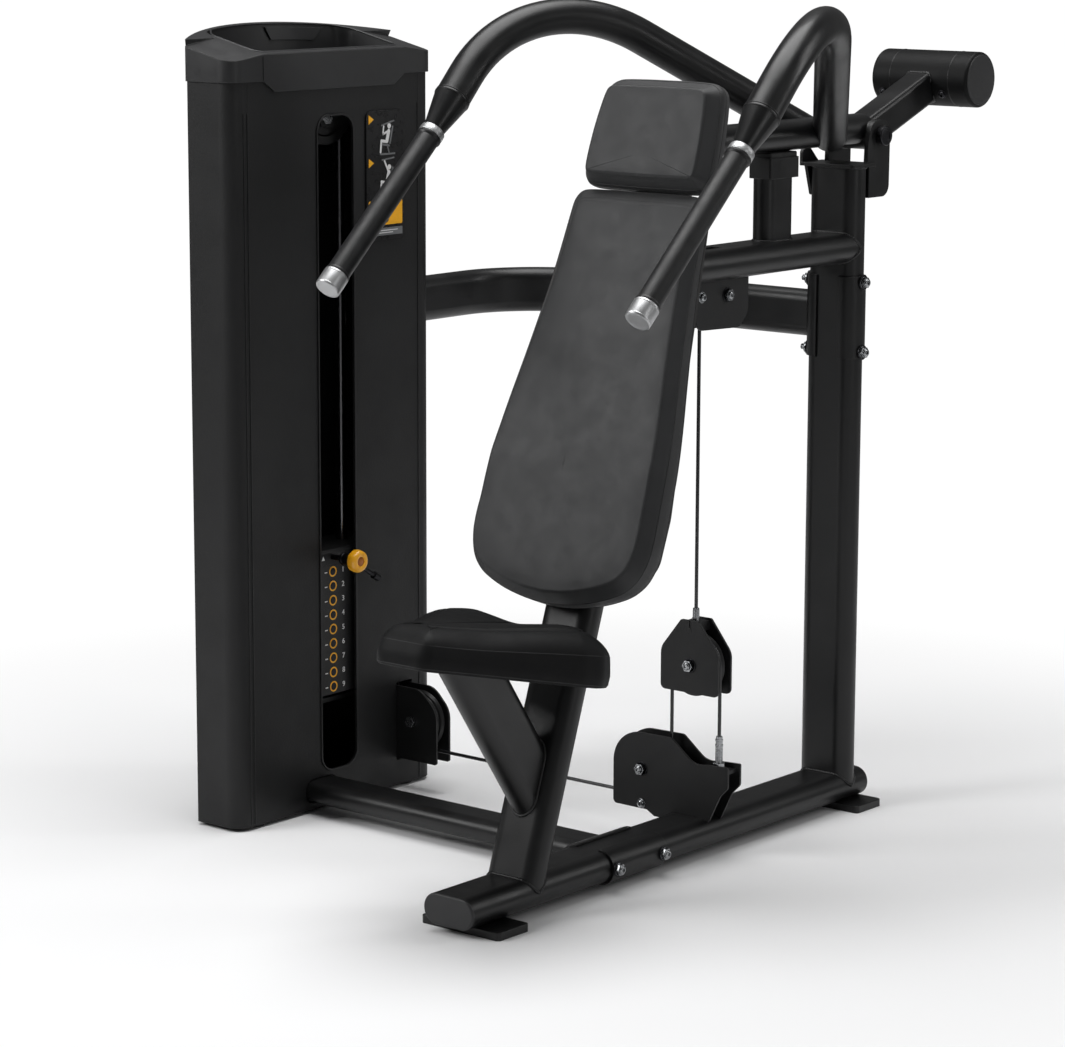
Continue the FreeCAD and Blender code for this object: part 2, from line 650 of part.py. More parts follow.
pin = new_body("pivot_pin", place((-55.2, py, pz), Y, X))
s = sketch(pin)
circ(s, "pin_dia", 0, 0, "pin")
pad(pin, s, 100.0)
hd = sketch(pin, name="Head", dz=99.4)
circ(hd, "=pin_dia+12", 0, 0, "hd")
f = pad(pin, hd, 8.0, name="HeadPad")
nt = sketch(pin, name="Nut", dz=11.0)
outline(nt, hexpts(30.0))
f2 = pad(pin, nt, 11.0, name="NutPad", rev=True)
keep(pin)

# ---------------------------------------------------------------- pads and their boards


def pad_outline(v0, pts, r):
    """Symmetric outline from half widths at heights."""
    right = [(w, v) for (w, v) in pts]
    left = [(-w, v) for (w, v) in reversed(pts)]
    return right + left


BACK = [(85, 409), (145, 434), (176, 485), (178, 560), (165, 700), (150, 811), (130, 1048)]
BACK_R = [40, 55, 45, 120, 0, 0, 22]
HEAD = [(112, 1074), (118, 1110), (106, 1238)]
HEAD_R = [14, 30, 26]


def slab(label, off, thick, rows, rads, inset=0.0, top_cut=0.0):
    b = new_body(label, place(tuple(A0 + FW * off), X, tuple(FW)))
    s = sketch(b)
    v0, v1 = rows[0][1], rows[-1][1]
    rr = [(w - inset, min(max(v, v0 + inset), v1 - inset)) for (w, v) in rows]
    outline(s, pad_outline(v0, rr, rads), rads + list(reversed(rads)))
    f = pad(b, s, thick)
    return b, f


bb, f = slab("back_board", 25.3, 12.0, BACK, BACK_R, 10.0)
hb, f = slab("head_board", 25.3, 12.0, HEAD, HEAD_R, 10.0)
sb = new_body("seat_board", place(tuple(SEAT_O + seat_n * 5.3), X, tuple(seat_n)))
SEAT = [(40, 4), (52, 30), (166, 238), (172, 268), (150, 312), (60, 318)]
SEAT_R = [24, 40, 40, 26, 34, 60]
s = sketch(sb)
# local X = X, local Y = seat_n x X = along seat_t
outline(s, pad_outline(0, [(w - 9, min(max(v, 14), 306)) for (w, v) in SEAT], 0), SEAT_R + list(reversed(SEAT_R)))
pad(sb, s, 12.0)
keep(group("pad_boards", [bb, hb, sb]))
bp, f = slab("back_pad", 37.8, 55.0, BACK, BACK_R)
fillet(bp, f, lambda e: abs(e.BoundBox.ZMin - 55.0) < 1e-4 and abs(e.BoundBox.ZMax - 55.0) < 1e-4, 17.0, "PartDesign::Chamfer")
keep(bp)
hp, f = slab("head_pad", 37.8, 38.0, HEAD, HEAD_R)
fillet(hp, f, lambda e: abs(e.BoundBox.ZMin - 38.0) < 1e-4 and abs(e.BoundBox.ZMax - 38.0) < 1e-4, 10.0)
keep(hp)
st = new_body("seat_pad_block", place(tuple(SEAT_O - seat_n * 1.2), X, tuple(seat_n)))
s = sketch(st)
outline(s, pad_outline(0, SEAT, 0), SEAT_R + list(reversed(SEAT_R)))
f = pad(st, s, 80.0)
fillet(st, f, lambda e: abs(e.BoundBox.ZMin - 80.0) < 1e-4 and abs(e.BoundBox.ZMax - 80.0) < 1e-4, 20.0)
# recess in the underside that takes the board and the seat plate
sh = new_body("seat_recess", place(tuple(SEAT_O - seat_n * 1.2), X, tuple(seat_n)))
s = sketch(sh)
outline(s, pad_outline(0, [(w - 8, min(max(v, 13), 307)) for (w, v) in SEAT], 0), SEAT_R + list(reversed(SEAT_R)))
pad(sh, s, 19.0)
keep(cut("seat_pad", st, [sh]))

# ---------------------------------------------------------------- pulleys, brackets, axles


def wheel(label, c, axis, od, groove, wid="pulley_wid", lip=3.0):
    """Grooved pulley wheel with a hub, turned about its own axis."""
    a = V(*axis)
    xd = (0, 0, 1)
    b = new_body(label, place(c, xd, axis))
    s = sketch(b, "XZ_Plane", "Turned")
    R, G, W, B = val(od) / 2, val(groove) / 2, P[wid] / 2, P["pulley_bore"] / 2
    cr = P["cable_dia"] / 2 + 0.4
    hubr = 13.0
    web = 3.4
    e = W - lip
    mouth = e - 1.4
    pts = [(B, -W), (hubr, -W), (hubr + 3, -web), (G - 9, -web), (G - 6, -e), (R - 0.8, -e),
           (R, -e + 0.8), (R, -mouth), (G + 3, -cr + 0.2), (G, -cr * 0.55), (G, cr * 0.55), (G + 3, cr - 0.2), (R, mouth), (R, e - 0.8),
           (R - 0.8, e), (G - 6, e), (G - 9, web), (hubr + 3, web), (hubr, W), (B, W)]
    outline(s, pts)
    f = b.newObject("PartDesign::Revolution", "Turn")
    f.Profile = s
    f.ReferenceAxis = (s, ["V_Axis"])
    f.Angle = 360.0
    b.Tip = f
    return b


pr49 = val("pulley_groove") / 2 + P["cable_dia"] / 2 + 0.2     # 49.0: cable line radius
ps40 = val("small_groove") / 2 + P["cable_dia"] / 2 + 0.2      # 40.0
cpy = yy(P["cable_y"])
GUIDE = (0, yy(672.0), 926.0)
FLOAT = (0, cpy, 318.0)
LOWER = (-98.0, cpy, 127.0)
BASEP = (-610.0, cpy, 127.0)
SX, SY = -718.0, yy(P["tower_y"])              # stack cable line
RX, RY = BASEP[0] - pr49, cpy                  # rear falling cable line
hd = V(RX - SX, RY - SY, 0)
hl = hd.Length
hd.normalize()
TZ = 1188.0
TOPF = tuple(V(SX, SY, TZ) + hd * ps40)
TOPR = tuple(V(RX, RY, TZ) - hd * ps40)
side = V(0, 0, 1).cross(hd)                    # axle direction of the top pulleys

keep(wheel("guide_pulley", GUIDE, X, "pulley_od", "pulley_groove"))
keep(wheel("float_pulley", FLOAT, Y, "pulley_od", "pulley_groove"))
keep(wheel("lower_pulley", LOWER, Y, "pulley_od", "pulley_groove"))
keep(wheel("base_pulley", BASEP, Y, "pulley_od", "pulley_groove"))
keep(wheel("top_front_pulley", TOPF, tuple(side), "small_od", "small_groove", "small_wid", 1.2))
keep(wheel("top_rear_pulley", TOPR, tuple(side), "small_od", "small_groove", "small_wid", 1.2))


def axle(label, c, axis, halflen, head=9.5, high=7.0):
    a = V(*axis)
    a.normalize()
    b = new_body(label, place(tuple(V(*c) - a * halflen), tuple(a.cross(V(0, 0, 1)) if abs(a.z) < 0.9 else V(1, 0, 0)), tuple(a)))
    s = sketch(b)
    circ(s, "axle_dia", 0, 0, "ax")
    pad(b, s, 2.0 * halflen)
    h1 = sketch(b, name="Head", dz=2.0 * halflen)
    outline(h1, hexpts(2 * head * 0.92))
    pad(b, h1, high, name="HeadPad")
    h2 = sketch(b, name="Nut")
    outline(h2, hexpts(2 * head * 0.92))
    pad(b, h2, high, name="NutPad", rev=True)
    return b


def plates(label, outl, rads, holes, pl_of, thick=4.0, gap=15.0):
    """Two parallel cheek plates either side of a pulley; pl_of(sign) gives each placement."""
    out = []
    for k, sgn in enumerate((-1, 1)):
        b = new_body("%s_cheek%d" % (label, k), pl_of(sgn))
        s = sketch(b)
        outline(s, outl, rads)
        f = pad(b, s, thick)
        for j, (hx, hy, hd2) in enumerate(holes):
            q = sketch(b, name="Hole%d" % j)
            n = q.addGeometry(Part.Circle(V(hx, hy, 0), V(0, 0, 1), hd2 / 2.0), False)
            con(q, "Diameter", n, hd2)
            through(b, q, "Hole")
        out.append(b)
    return out


GAPP = 15.0
# guide pulley bracket hangs from the upper beam, plates in the YZ plane
go = [(yy(579), 953), (yy(579), 905), (yy(598), 874), (yy(706), 870), (yy(730), 893), (yy(730), 953)]
gb = plates("guide", go, [0, 16, 16, 24, 24, 0], [(GUIDE[1], GUIDE[2], P["axle_dia"] + 0.2), (yy(603), 928, 8.2)],
            lambda sg: place(((GAPP if sg > 0 else -GAPP - 4.0), 0, 0), Y, X))
keep(group("guide_bracket", gb))

# floating pulley block, plates in the XZ plane
fo = [(-59, -46), (-59, 24), (-18, 76), (18, 76), (59, 24), (59, -46)]
fb = plates("block", fo, [9, 28, 5, 5, 28, 9], [(0, 0, P["axle_dia"] + 0.2)],
            lambda sg: place((0, cpy + (GAPP if sg > 0 else -GAPP - 4.0), FLOAT[2]), (-1, 0, 0), Y))
yoke = box("block_yoke", (-15, cpy - GAPP, FLOAT[2] + 57), (15, cpy + GAPP, FLOAT[2] + 73))
keep(fuse("block_frame", fb + [yoke]))

# lower pulley bracket stands on the floor beam, plates in the XZ plane; local X = -X, local Y = Z
lo = [(-157, 59), (-86, 59), (-70, 50), (36, 50), (44, 62), (66, 107), (81, 122), (81, 158), (39, 156), (12, 152), (-36, 190), (-157, 188)]
lo = [(-x, z) for (x, z) in lo]
lb = plates("lower", lo, [8, 6, 0, 0, 0, 14, 8, 3, 3, 36, 12, 56], [(-LOWER[0], LOWER[2], P["axle_dia"] + 0.2), (97.0, 67.5, 8.2)],
            lambda sg: place((0, cpy + (GAPP if sg > 0 else -GAPP - 4.0), 0), (-1, 0, 0), Y))
beam_s3 = oval_tube("beam_space_c", (0, yy(5), beam_z), (-1, 0, 0), Y, "beam_len", solid=True)
web1 = box("lower_web", (34, cpy - GAPP, 143), (74, cpy + GAPP, 149))
lfoot = box("lower_foot", (-24, cpy - GAPP - 4, 63), (24, cpy + GAPP + 4, 69))
lbf = fuse("lower_bracket_all", lb + [web1, lfoot])
lbf = cut("lower_bracket", lbf, [beam_s3, cyl("stud_way", (pr49, cpy, 100), Z, 6.1, 60)])
keep(lbf)

# base pulley guard, two cheeks that reach out through the tower's inner panel
bo = [(-676, 56), (-556, 56), (-553, 59), (-553, 150), (-590, 187), (-676, 187)]
bo = [(-x, z) for (x, z) in bo]
bg = plates("guard", bo, [3, 3, 3, 40, 40, 3], [(-BASEP[0], BASEP[2], P["axle_dia"] + 0.2)],
            lambda sg: place((0, cpy + (GAPP if sg > 0 else -GAPP - 4.0), 0), (-1, 0, 0), Y))
gweb = box("guard_web", (-676, cpy - GAPP, 58), (-668, cpy + GAPP, 176))
gfoot = box("guard_foot", (-676, cpy - GAPP - 4, 14.5), (-652, cpy + GAPP + 4, 60))
keep(fuse("base_guard", bg + [gweb, gfoot]))

keep(group("pulley_axles", [axle("ax_g", GUIDE, X, 19.2), axle("ax_l", LOWER, Y, 19.2), axle("ax_b", BASEP, Y, 19.2),
                            axle("ax_tf", TOPF, tuple(side), 12.2, 9.5, 4.0), axle("ax_tr", TOPR, tuple(side), 12.2, 9.5, 4.0)]))
keep(axle("block_axle", FLOAT, Y, 19.2))

# anchor stud: threaded rod with two nuts and the swaged cable end
STUD_Z = 125.0
stud = new_body("anchor_stud", place((pr49, cpy, STUD_Z), X, Z))
s = sketch(stud)
n = s.addGeometry(Part.Circle(V(0, 0, 0), V(0, 0, 1), 6.0), False)
con(s, "Diameter", n, 12.0)
pad(stud, s, "stud_len")
for nm, z in (("NutA", 8.8), ("NutB", 24.2)):
    q = sketch(stud, name=nm, dz=z)
    outline(q, hexpts(19.0))
    pad(stud, q, 9.0, name=nm + "Pad")
q = sketch(stud, name="Swage", dz=P["stud_len"])
n = q.addGeometry(Part.Circle(V(0, 0, 0), V(0, 0, 1), 5.0), False)
pad(stud, q, 16.0, name="SwagePad")
keep(stud)

# ---------------------------------------------------------------- tower
tx, tyc, tl = P["tower_x"], yy(P["tower_y"]), P["tower_len"]
y0t, y1t = tyc - tl / 2, tyc + tl / 2
xo = tx - P["tower_side"]
bul = P["tower_bulge"]


def tower_wire(off, z):
    """Plan outline of the tower, offset outwards by off."""
    o = off
    xf = tx + o
    ya, yb = y0t - o, y1t + o
    xs = xo
    r = 28.0
    R = ((tl / 2 + o) ** 2 + (bul + o) ** 2) / (2 * (bul + o))
    k = 0.7071
    pts = [V(xf, ya + r + 10, z), V(xf, yb - r - 10, z)]
    e = []
    e.append(Part.LineSegment(V(xf, ya + r, z), V(xf, yb - r, z)).toShape())
    e.append(Part.Arc(V(xf, yb - r, z), V(xf - r * (1 - k), yb - r * (1 - k), z), V(xf - r, yb, z)).toShape())
    e.append(Part.LineSegment(V(xf - r, yb, z), V(xs, yb, z)).toShape())
    e.append(Part.Arc(V(xs, yb, z), V(xs - bul - o, tyc, z), V(xs, ya, z)).toShape())
    e.append(Part.LineSegment(V(xs, ya, z), V(xf - r, ya, z)).toShape())
    e.append(Part.Arc(V(xf - r, ya, z), V(xf - r * (1 - k), ya + r * (1 - k), z), V(xf, ya + r, z)).toShape())
    return Part.Wire(e)


def tower_solid(off, z0, z1):
    return Part.Face(tower_wire(off, z0)).extrude(V(0, 0, z1 - z0))


tz0, tz1 = 6.0, P["tower_top"]
th = P["sheet_thk"]
shell = tower_solid(0.0, tz0, tz1).cut(tower_solid(-th, tz0 - 1, tz1 + 1))
seam = tx - 30.0
between = Part.makeBox(60, tl - 78, 1400, V(seam, y0t + 39, 0))
# inner panel: the flat inner face between the two corner seams, with the window and openings
wy0, wy1 = yy(409.0), yy(502.0)
wz0, wz1 = 66.0, 1200.0
win = Part.makeBox(60, wy1 - wy0, wz1 - wz0, V(tx - 40, wy0, wz0))
win = win.makeFillet(30.0, [e for e in win.Edges if e.BoundBox.XLength > 50])
fx = P["cross_wide"] / 2 + 1.0
cho = Part.makeBox(60, 2 * fx, 2 * (P["cross_thick"] / 2 + 1.0), V(tx - 40, cy - fx, beam_z - P["cross_thick"] / 2 - 1.0))
cho = cho.makeFillet(20.0, [e for e in cho.Edges if e.BoundBox.XLength > 50])
gho = Part.makeBox(60, 2 * (GAPP + 5.5), 190 - 50, V(tx - 40, cpy - GAPP - 5.5, 52))
panel = shell.common(between).cut(win).cut(cho).cut(gho)
keep(feature("inner_panel", panel))
keep_out = shell.cut(Part.makeBox(60, tl - 77.4, 1500, V(seam, y0t + 38.7, -10)))
upslot = Part.makeBox(50, 60, 90, V(ux - 25, y1t - 30, cz - 45))
keep_out = keep_out.cut(upslot)
keep(feature("outer_shroud", keep_out))

# window trim: a thin raised rim round the window
tr = Part.makeBox(5.0, wy1 - wy0, wz1 - wz0, V(tx - 3.0, wy0, wz0))
tr = tr.makeFillet(30.0, [e for e in tr.Edges if 4.9 < e.BoundBox.XLength < 5.1 and e.BoundBox.YLength < 1e-3 and e.BoundBox.ZLength < 1e-3])
tr2 = Part.makeBox(9.0, wy1 - wy0 - 6, wz1 - wz0 - 6, V(tx - 5.0, wy0 + 3, wz0 + 3))
tr2 = tr2.makeFillet(27.0, [e for e in tr2.Edges if 8.9 < e.BoundBox.XLength < 9.1 and e.BoundBox.YLength < 1e-3 and e.BoundBox.ZLength < 1e-3])
keep(feature("window_trim", tr.cut(tr2)))

# placard on the inner panel
pl = new_body("placard", place((tx + 0.05, 0, 0), Y, X))
s = sketch(pl)
outline(s, [(yy(531), 979), (yy(626), 979), (yy(626), 1200), (yy(531), 1200)], 12.0)
f = pad(pl, s, 3.0)
keep(pl)

# cap: sloping tray, rim rises towards the outer side, front lip low
zc0 = 1243.0
cap_o = tower_solid(3.5, zc0, 1400.0)
slope = math.degrees(math.atan(0.235))
cutter = Part.makeBox(600, 900, 400, V(-300, -450, 0))
cutter.Placement = FreeCAD.Placement(V(tx, tyc, 1306.0), FreeCAD.Rotation(V(0, 1, 0), slope))
cap_o = cap_o.cut(cutter)
low = tower_solid(0.3, zc0 - 5, 1262.0)
cap_s = cap_o.cut(low)
# apron over the inner face: keep it only between the two shallow corners
tray = tower_solid(-6.0, 1276.0, 1420.0).common(Part.makeBox(400, 346, 144, V(tx - 410.0, tyc - 173, 1276.0)))
tray = tray.makeFillet(26.0, [e for e in tray.Edges if e.BoundBox.ZLength > 140 and abs(abs(e.CenterOfMass.y - tyc) - 173) < 1 and e.CenterOfMass.x < tx - 60])
tray = tray.makeFillet(12.0, [e for e in tray.Edges if e.BoundBox.ZLength > 140 and abs(abs(e.CenterOfMass.y - tyc) - 173) < 1 and e.CenterOfMass.x > tx - 20])
cap_s = cap_s.cut(tray)
# shoulders fall away towards both ends
for sgn in (-1, 1):
    wedge = Part.makeBox(131, 200, 60, V(-101, -200 if sgn < 0 else 0, 0))
    wedge.Placement = FreeCAD.Placement(V(tx, tyc + sgn * 177, 1306.0), FreeCAD.Rotation(V(0, 1, 0), slope) * FreeCAD.Rotation(V(1, 0, 0), -sgn * 8.3))
    cap_s = cap_s.cut(wedge)
apron = Part.Face(Part.makePolygon([V(tx - 5, tyc + a, z) for a, z in ((-174, 1261.5), (-142, 1240), (142, 1240), (174, 1261.5), (174, 1275), (-174, 1275), (-174, 1261.5))])).extrude(V(60, 0, 0))
cap_s = cap_s.cut(tower_solid(30, zc0 - 1, 1261.0).cut(apron))
keep(feature("tower_cap", cap_s))

# tower frame: base plate on feet, shelf for the stack, rear post, top plate carrying the top pulleys
rod_x = SX
rods_y = [tyc - P["rod_gap"] / 2, tyc + P["rod_gap"] / 2]
room = tower_solid(-6.0, 0.0, 1300.0)
tf = Part.makeBox(220, tl, 8, V(-860, y0t, 6.5))
for fy in (y0t + 60, y1t - 60):
    for fx2 in (-668.0, -728.0):
        tf = tf.fuse(Part.makeCylinder(16.0, 6.5, V(fx2, fy, 0)))
extra = [Part.makeBox(40, 20, 172, V(-740, tyc - 172, 14)), Part.makeBox(40, 20, 172, V(-740, tyc + 152, 14)),
         Part.makeBox(86, 344, 8, V(-764, tyc - 172, 178)),
         Part.makeBox(24, 34, 1236 - 14, V(-740, yy(661), 14)),
         Part.makeBox(7.0, 30, 36, V(-717.0, yy(665), cz - 18)),
         Part.makeBox(150, 430, 6, V(-800, tyc - 200, 1236))]
for sld in extra:
    tf = tf.fuse(sld)
tf = tf.common(room)
for ry in rods_y:
    tf = tf.cut(Part.makeCylinder(P["rod_dia"] / 2 + 0.05, 1300, V(rod_x, ry, 170)))
for sg in (-1, 1):
    span = (V(*TOPR) - V(*TOPF)).Length
    ch = Part.makeBox(span + 24, 3.2, 1236.5 - (TZ - 14))
    ch.Placement = place(tuple(V(*TOPF) - hd * 12 - V(0, 0, 14) + side * (9.0 if sg > 0 else -9.0 - 3.2)), tuple(hd), Z)
    for c in (TOPF, TOPR):
        ch = ch.cut(Part.makeCylinder(P["axle_dia"] / 2 + 0.1, 120, V(*c) - side * 60, side))
    tf = tf.fuse(ch)
tf = tf.removeSplitter()
keep(feature("tower_frame", tf))

rod_h = 1240.8 - 176.0
keep(group("guide_rods", [cyl("rod_a", (rod_x, rods_y[0], 176.0), Z, "=rod_dia/2", rod_h), cyl("rod_b", (rod_x, rods_y[1], 176.0), Z, "=rod_dia/2", rod_h)]))

cush = []
for k, ry in enumerate(rods_y):
    b = new_body("cushion%d" % k, place((rod_x, ry, 186.1), X, Z))
    s = sketch(b)
    circ(s, "=rod_dia+26", 0, 0, "o")
    circ(s, "=rod_dia+0.6", 0, 0, "i")
    pad(b, s, 12.0)
    cush.append(b)
keep(group("stack_cushions", cush))

# weight plates: nine plates on the guide rods, each with a pin hole from the inner face
pts9 = []
front_x = tx - 3.0 - 9.0
pcx = front_x - P["plate_dep"] / 2
NPL = 9
z_first = 413.9
for k in range(NPL):
    zc = z_first - P["plate_pitch"] * k
    b = new_body("plate_%d" % (k + 1), place((pcx, tyc, zc - P["plate_thk"] / 2), X, Z))
    s = sketch(b)
    rect(s, "plate_dep", "plate_len", "pl")
    f = pad(b, s, "plate_thk")
    h = sketch(b, name="RodHoles")
    circ(h, "=rod_dia+1.6", rod_x - pcx, P["rod_gap"] / 2, "a")
    circ(h, "=rod_dia+1.6", rod_x - pcx, -P["rod_gap"] / 2, "b")
    circ(h, "=rod_dia+6", rod_x - pcx, 0, "st")
    q = through(b, h)
    ph = sketch(b, "YZ_Plane", "PinHole", dz=P["plate_dep"] / 2 + 5)
    n = ph.addGeometry(Part.Circle(V(0, P["plate_thk"] / 2, 0), V(0, 0, 1), 5.2), False)
    doc.recompute()
    vb = b.Shape.Volume
    pk = b.newObject("PartDesign::Pocket", "PinPocket")
    pk.Profile = ph
    pk.Length = 5 + P["plate_dep"] / 2 + 2
    b.Tip = pk
    doc.recompute()
    if not b.Shape.Volume < vb - 1:
        pk.Reversed = True
        doc.recompute()
    if not b.Shape.Volume < vb - 1:
        raise RuntimeError("pin hole cuts nothing")
    pts9.append(b)
keep(group("weight_plates", pts9))

# ---------------------------------------------------------------- head plate, stem, pin
hz0 = z_first + P["plate_pitch"] / 2
hz1 = hz0 + 26.0
hp2 = new_body("head_plate", place((pcx, tyc, hz0 + 0.1), X, Z))
s = sketch(hp2)
rect(s, "plate_dep", "plate_len", "pl")
f = pad(hp2, s, 25.0)
fillet(hp2, f, lambda e: abs(e.BoundBox.ZMin - 25.0) < 1e-4 and abs(e.BoundBox.ZMax - 25.0) < 1e-4, 5.0, "PartDesign::Chamfer")
h = sketch(hp2, name="RodHoles")
circ(h, "=rod_dia+0.16", rod_x - pcx, P["rod_gap"] / 2, "a")
circ(h, "=rod_dia+0.16", rod_x - pcx, -P["rod_gap"] / 2, "b")
circ(h, "=rod_dia+0.2", rod_x - pcx, 0, "st")
q = through(hp2, h)
ph = sketch(hp2, "YZ_Plane", "PinHole", dz=P["plate_dep"] / 2 + 5)
ph.addGeometry(Part.Circle(V(0, 12.5, 0), V(0, 0, 1), 5.2), False)
doc.recompute()
vb = hp2.Shape.Volume
pk = hp2.newObject("PartDesign::Pocket", "PinPocket")
pk.Profile = ph
pk.Length = 5 + P["plate_dep"] / 2 + 2
hp2.Tip = pk
doc.recompute()
if not hp2.Shape.Volume < vb - 1:
    pk.Reversed = True
    doc.recompute()
keep(hp2)
pin_z = hz0 + 0.1 + 12.5

stem = new_body("selector_stem", place((SX, SY, 201.0), X, Z))
s = sketch(stem)
circ(s, "rod_dia", 0, 0, "stem")
f = pad(stem, s, hz0 + 0.1 + 25.0 + 8.0 - 201.0)
col = sketch(stem, name="Collar", dz=hz0 + 0.1 + 25.0 + 0.05 - 201.0)
n = col.addGeometry(Part.Circle(V(0, 0, 0), V(0, 0, 1), 17.0), False)
pad(stem, col, 20.0, name="CollarPad")
ph = sketch(stem, "YZ_Plane", "PinHoles", dz=30.0)
for k in range(NPL + 1):
    zz = (pin_z if k == 0 else z_first - P["plate_pitch"] * (k - 1)) - 201.0
    ph.addGeometry(Part.Circle(V(0, zz, 0), V(0, 0, 1), 5.3), False)
doc.recompute()
vb = stem.Shape.Volume
pk = stem.newObject("PartDesign::Pocket", "PinPocket")
pk.Profile = ph
pk.Length = 60.0
stem.Tip = pk
doc.recompute()
if not stem.Shape.Volume < vb - 1:
    pk.Reversed = True
    doc.recompute()
keep(stem)

spn = new_body("pin_shaft", place((SX - 6.0, SY, pin_z), Y, X))
s = sketch(spn)
n = s.addGeometry(Part.Circle(V(0, 0, 0), V(0, 0, 1), 5.0), False)
con(s, "Diameter", n, 10.0)
pl_len = (tx + 12.0) - (SX - 6.0)
pad(spn, s, pl_len)
c1 = sketch(spn, name="Collar", dz=pl_len)
c1.addGeometry(Part.Circle(V(0, 0, 0), V(0, 0, 1), 11.0), False)
pad(spn, c1, 24.0, name="CollarPad")
knob = new_body("pin_knob", place((tx + 36.0, SY, pin_z), Y, X))
s = sketch(knob)
n = s.addGeometry(Part.Circle(V(0, 0, 0), V(0, 0, 1), 19.5), False)
con(s, "Diameter", n, 39.0)
f = pad(knob, s, 20.0)
fillet(knob, f, lambda e: abs(e.BoundBox.ZMin - 20.0) < 1e-4 and abs(e.BoundBox.ZMax - 20.0) < 1e-4, 6.0)
q = sketch(knob, name="Dimple", dz=20.0)
q.addGeometry(Part.Circle(V(0, 0, 0), V(0, 0, 1), 6.0), False)
doc.recompute()
vb = knob.Shape.Volume
pk = knob.newObject("PartDesign::Pocket", "DimplePocket")
pk.Profile = q
pk.Length = 8.0
knob.Tip = pk
doc.recompute()
if not knob.Shape.Volume < vb - 1:
    pk.Reversed = True
    doc.recompute()
lever = cyl("pin_lever", (tx + 29.0, SY + 4.0, pin_z - 2.4), (0.0, 0.86, -0.51), 4.0, 70.0)
keep(knob)
lev_tip = cyl("lever_tip", (tx + 29.0, SY + 4.0 + 0.86 * 64, pin_z - 2.4 - 0.51 * 64), (0.0, 0.86, -0.51), 6.5, 14.0)
keep(fuse("selector_pin", [spn, lever, lev_tip]))

# ---------------------------------------------------------------- press arm
sz = P["spine_axis_z"]
spine_y0 = yy(596.0)
spn_b = oval_tube("spine_tube", (0, spine_y0, sz), (-1, 0, 0), Y, "=pivot_y-596", "=oval_thick+10", "oval_thick")
hub_s = cyl("hub_space", (-60, py, pz), X, "=hub_dia/2", 120)
hub = new_body("hub", place((-P["hub_len"] / 2, py, pz), Y, X))
s = sketch(hub)
circ(s, "hub_dia", 0, 0, "o")
circ(s, "=pin_dia+0.1", 0, 0, "i")
pad(hub, s, "hub_len")
spn_c = cut("spine_c", spn_b, [hub_s])
CW = V(0, yy(1295.0), 1250.0)
cwd = CW - V(0, py, pz)
cwl = cwd.Length
cwd.normalize()
nose = oval_tube("spine_nose", (0, spine_y0 - 4, sz), (-1, 0, 0), Y, 4.0, "=oval_thick+10", "oval_thick", solid=True)
lug_y = yy(P["cable_y"] - 2.0)
lug = box("lug_block", (-9, lug_y - 12, sz - 45), (9, lug_y + 12, sz - 24.9))
lug_c = cut("cable_lug", lug, [cyl("lug_way", (-30, lug_y, sz - 36), X, 4.1, 60)])
keep(fuse("arm_spine", [spn_c, hub, nose, lug_c]))

# arms: straight run out of the spine, one large bend, straight run down into the collar
K = V(303.8, yy(550.6), 1442.4)
P0 = V(20.4, yy(953.3), 1168.0)
C3 = V(304.0, yy(362.5), 1243.0)
arms = []
for sg, nm in ((1, "arm_left"), (-1, "arm_right")):
    p0, kk, c3 = V(sg * P0.x, P0.y, P0.z), V(sg * K.x, K.y, K.z), V(sg * C3.x, C3.y, C3.z)
    d1, d2 = kk - p0, c3 - kk
    n1, n2 = d1.Length, d2.Length
    d1.normalize()
    d2.normalize()
    nrm = d1.cross(d2)
    nrm.normalize()
    ang = d1.getAngle(d2)
    R = P["arm_bend"]
    t = R * math.tan(ang / 2)
    b = new_body(nm, place(tuple(p0), tuple(d1), tuple(nrm)))
    sp = sketch(b, name="Path")
    a = n1 - t
    e1 = V(a, 0, 0)
    cc0 = V(a, R, 0)
    mid = V(a + R * math.sin(ang / 2), R - R * math.cos(ang / 2), 0)
    e2 = V(a + R * math.sin(ang), R - R * math.cos(ang), 0)
    e3 = e2 + V(math.cos(ang), math.sin(ang), 0) * (n2 - t)
    sp.addGeometry([Part.LineSegment(V(0, 0, 0), e1), Part.Arc(e1, mid, e2), Part.LineSegment(e2, e3)], False)
    pr = sketch(b, "YZ_Plane", "Section")
    circ(pr, "arm_dia", 0, 0, "o")
    circ(pr, "=arm_dia-wall-wall", 0, 0, "i")
    pp = b.newObject("PartDesign::AdditivePipe", "Sweep")
    pp.Profile = pr
    pp.Spine = (sp, ["Edge1", "Edge2", "Edge3"])
    b.Tip = pp
    sps = oval_tube("spine_space_%s" % nm, (0, spine_y0 - 10, sz), (-1, 0, 0), Y, 600.0, "=oval_thick+10", "oval_thick", solid=True)
    inner = box("mid_%s" % nm, (-400 if sg > 0 else 0, yy(800), 1000), (0 if sg > 0 else 400, yy(1100), 1300))
    keep(cut(nm, b, [sps, inner]))
    arms.append((c3, d2))

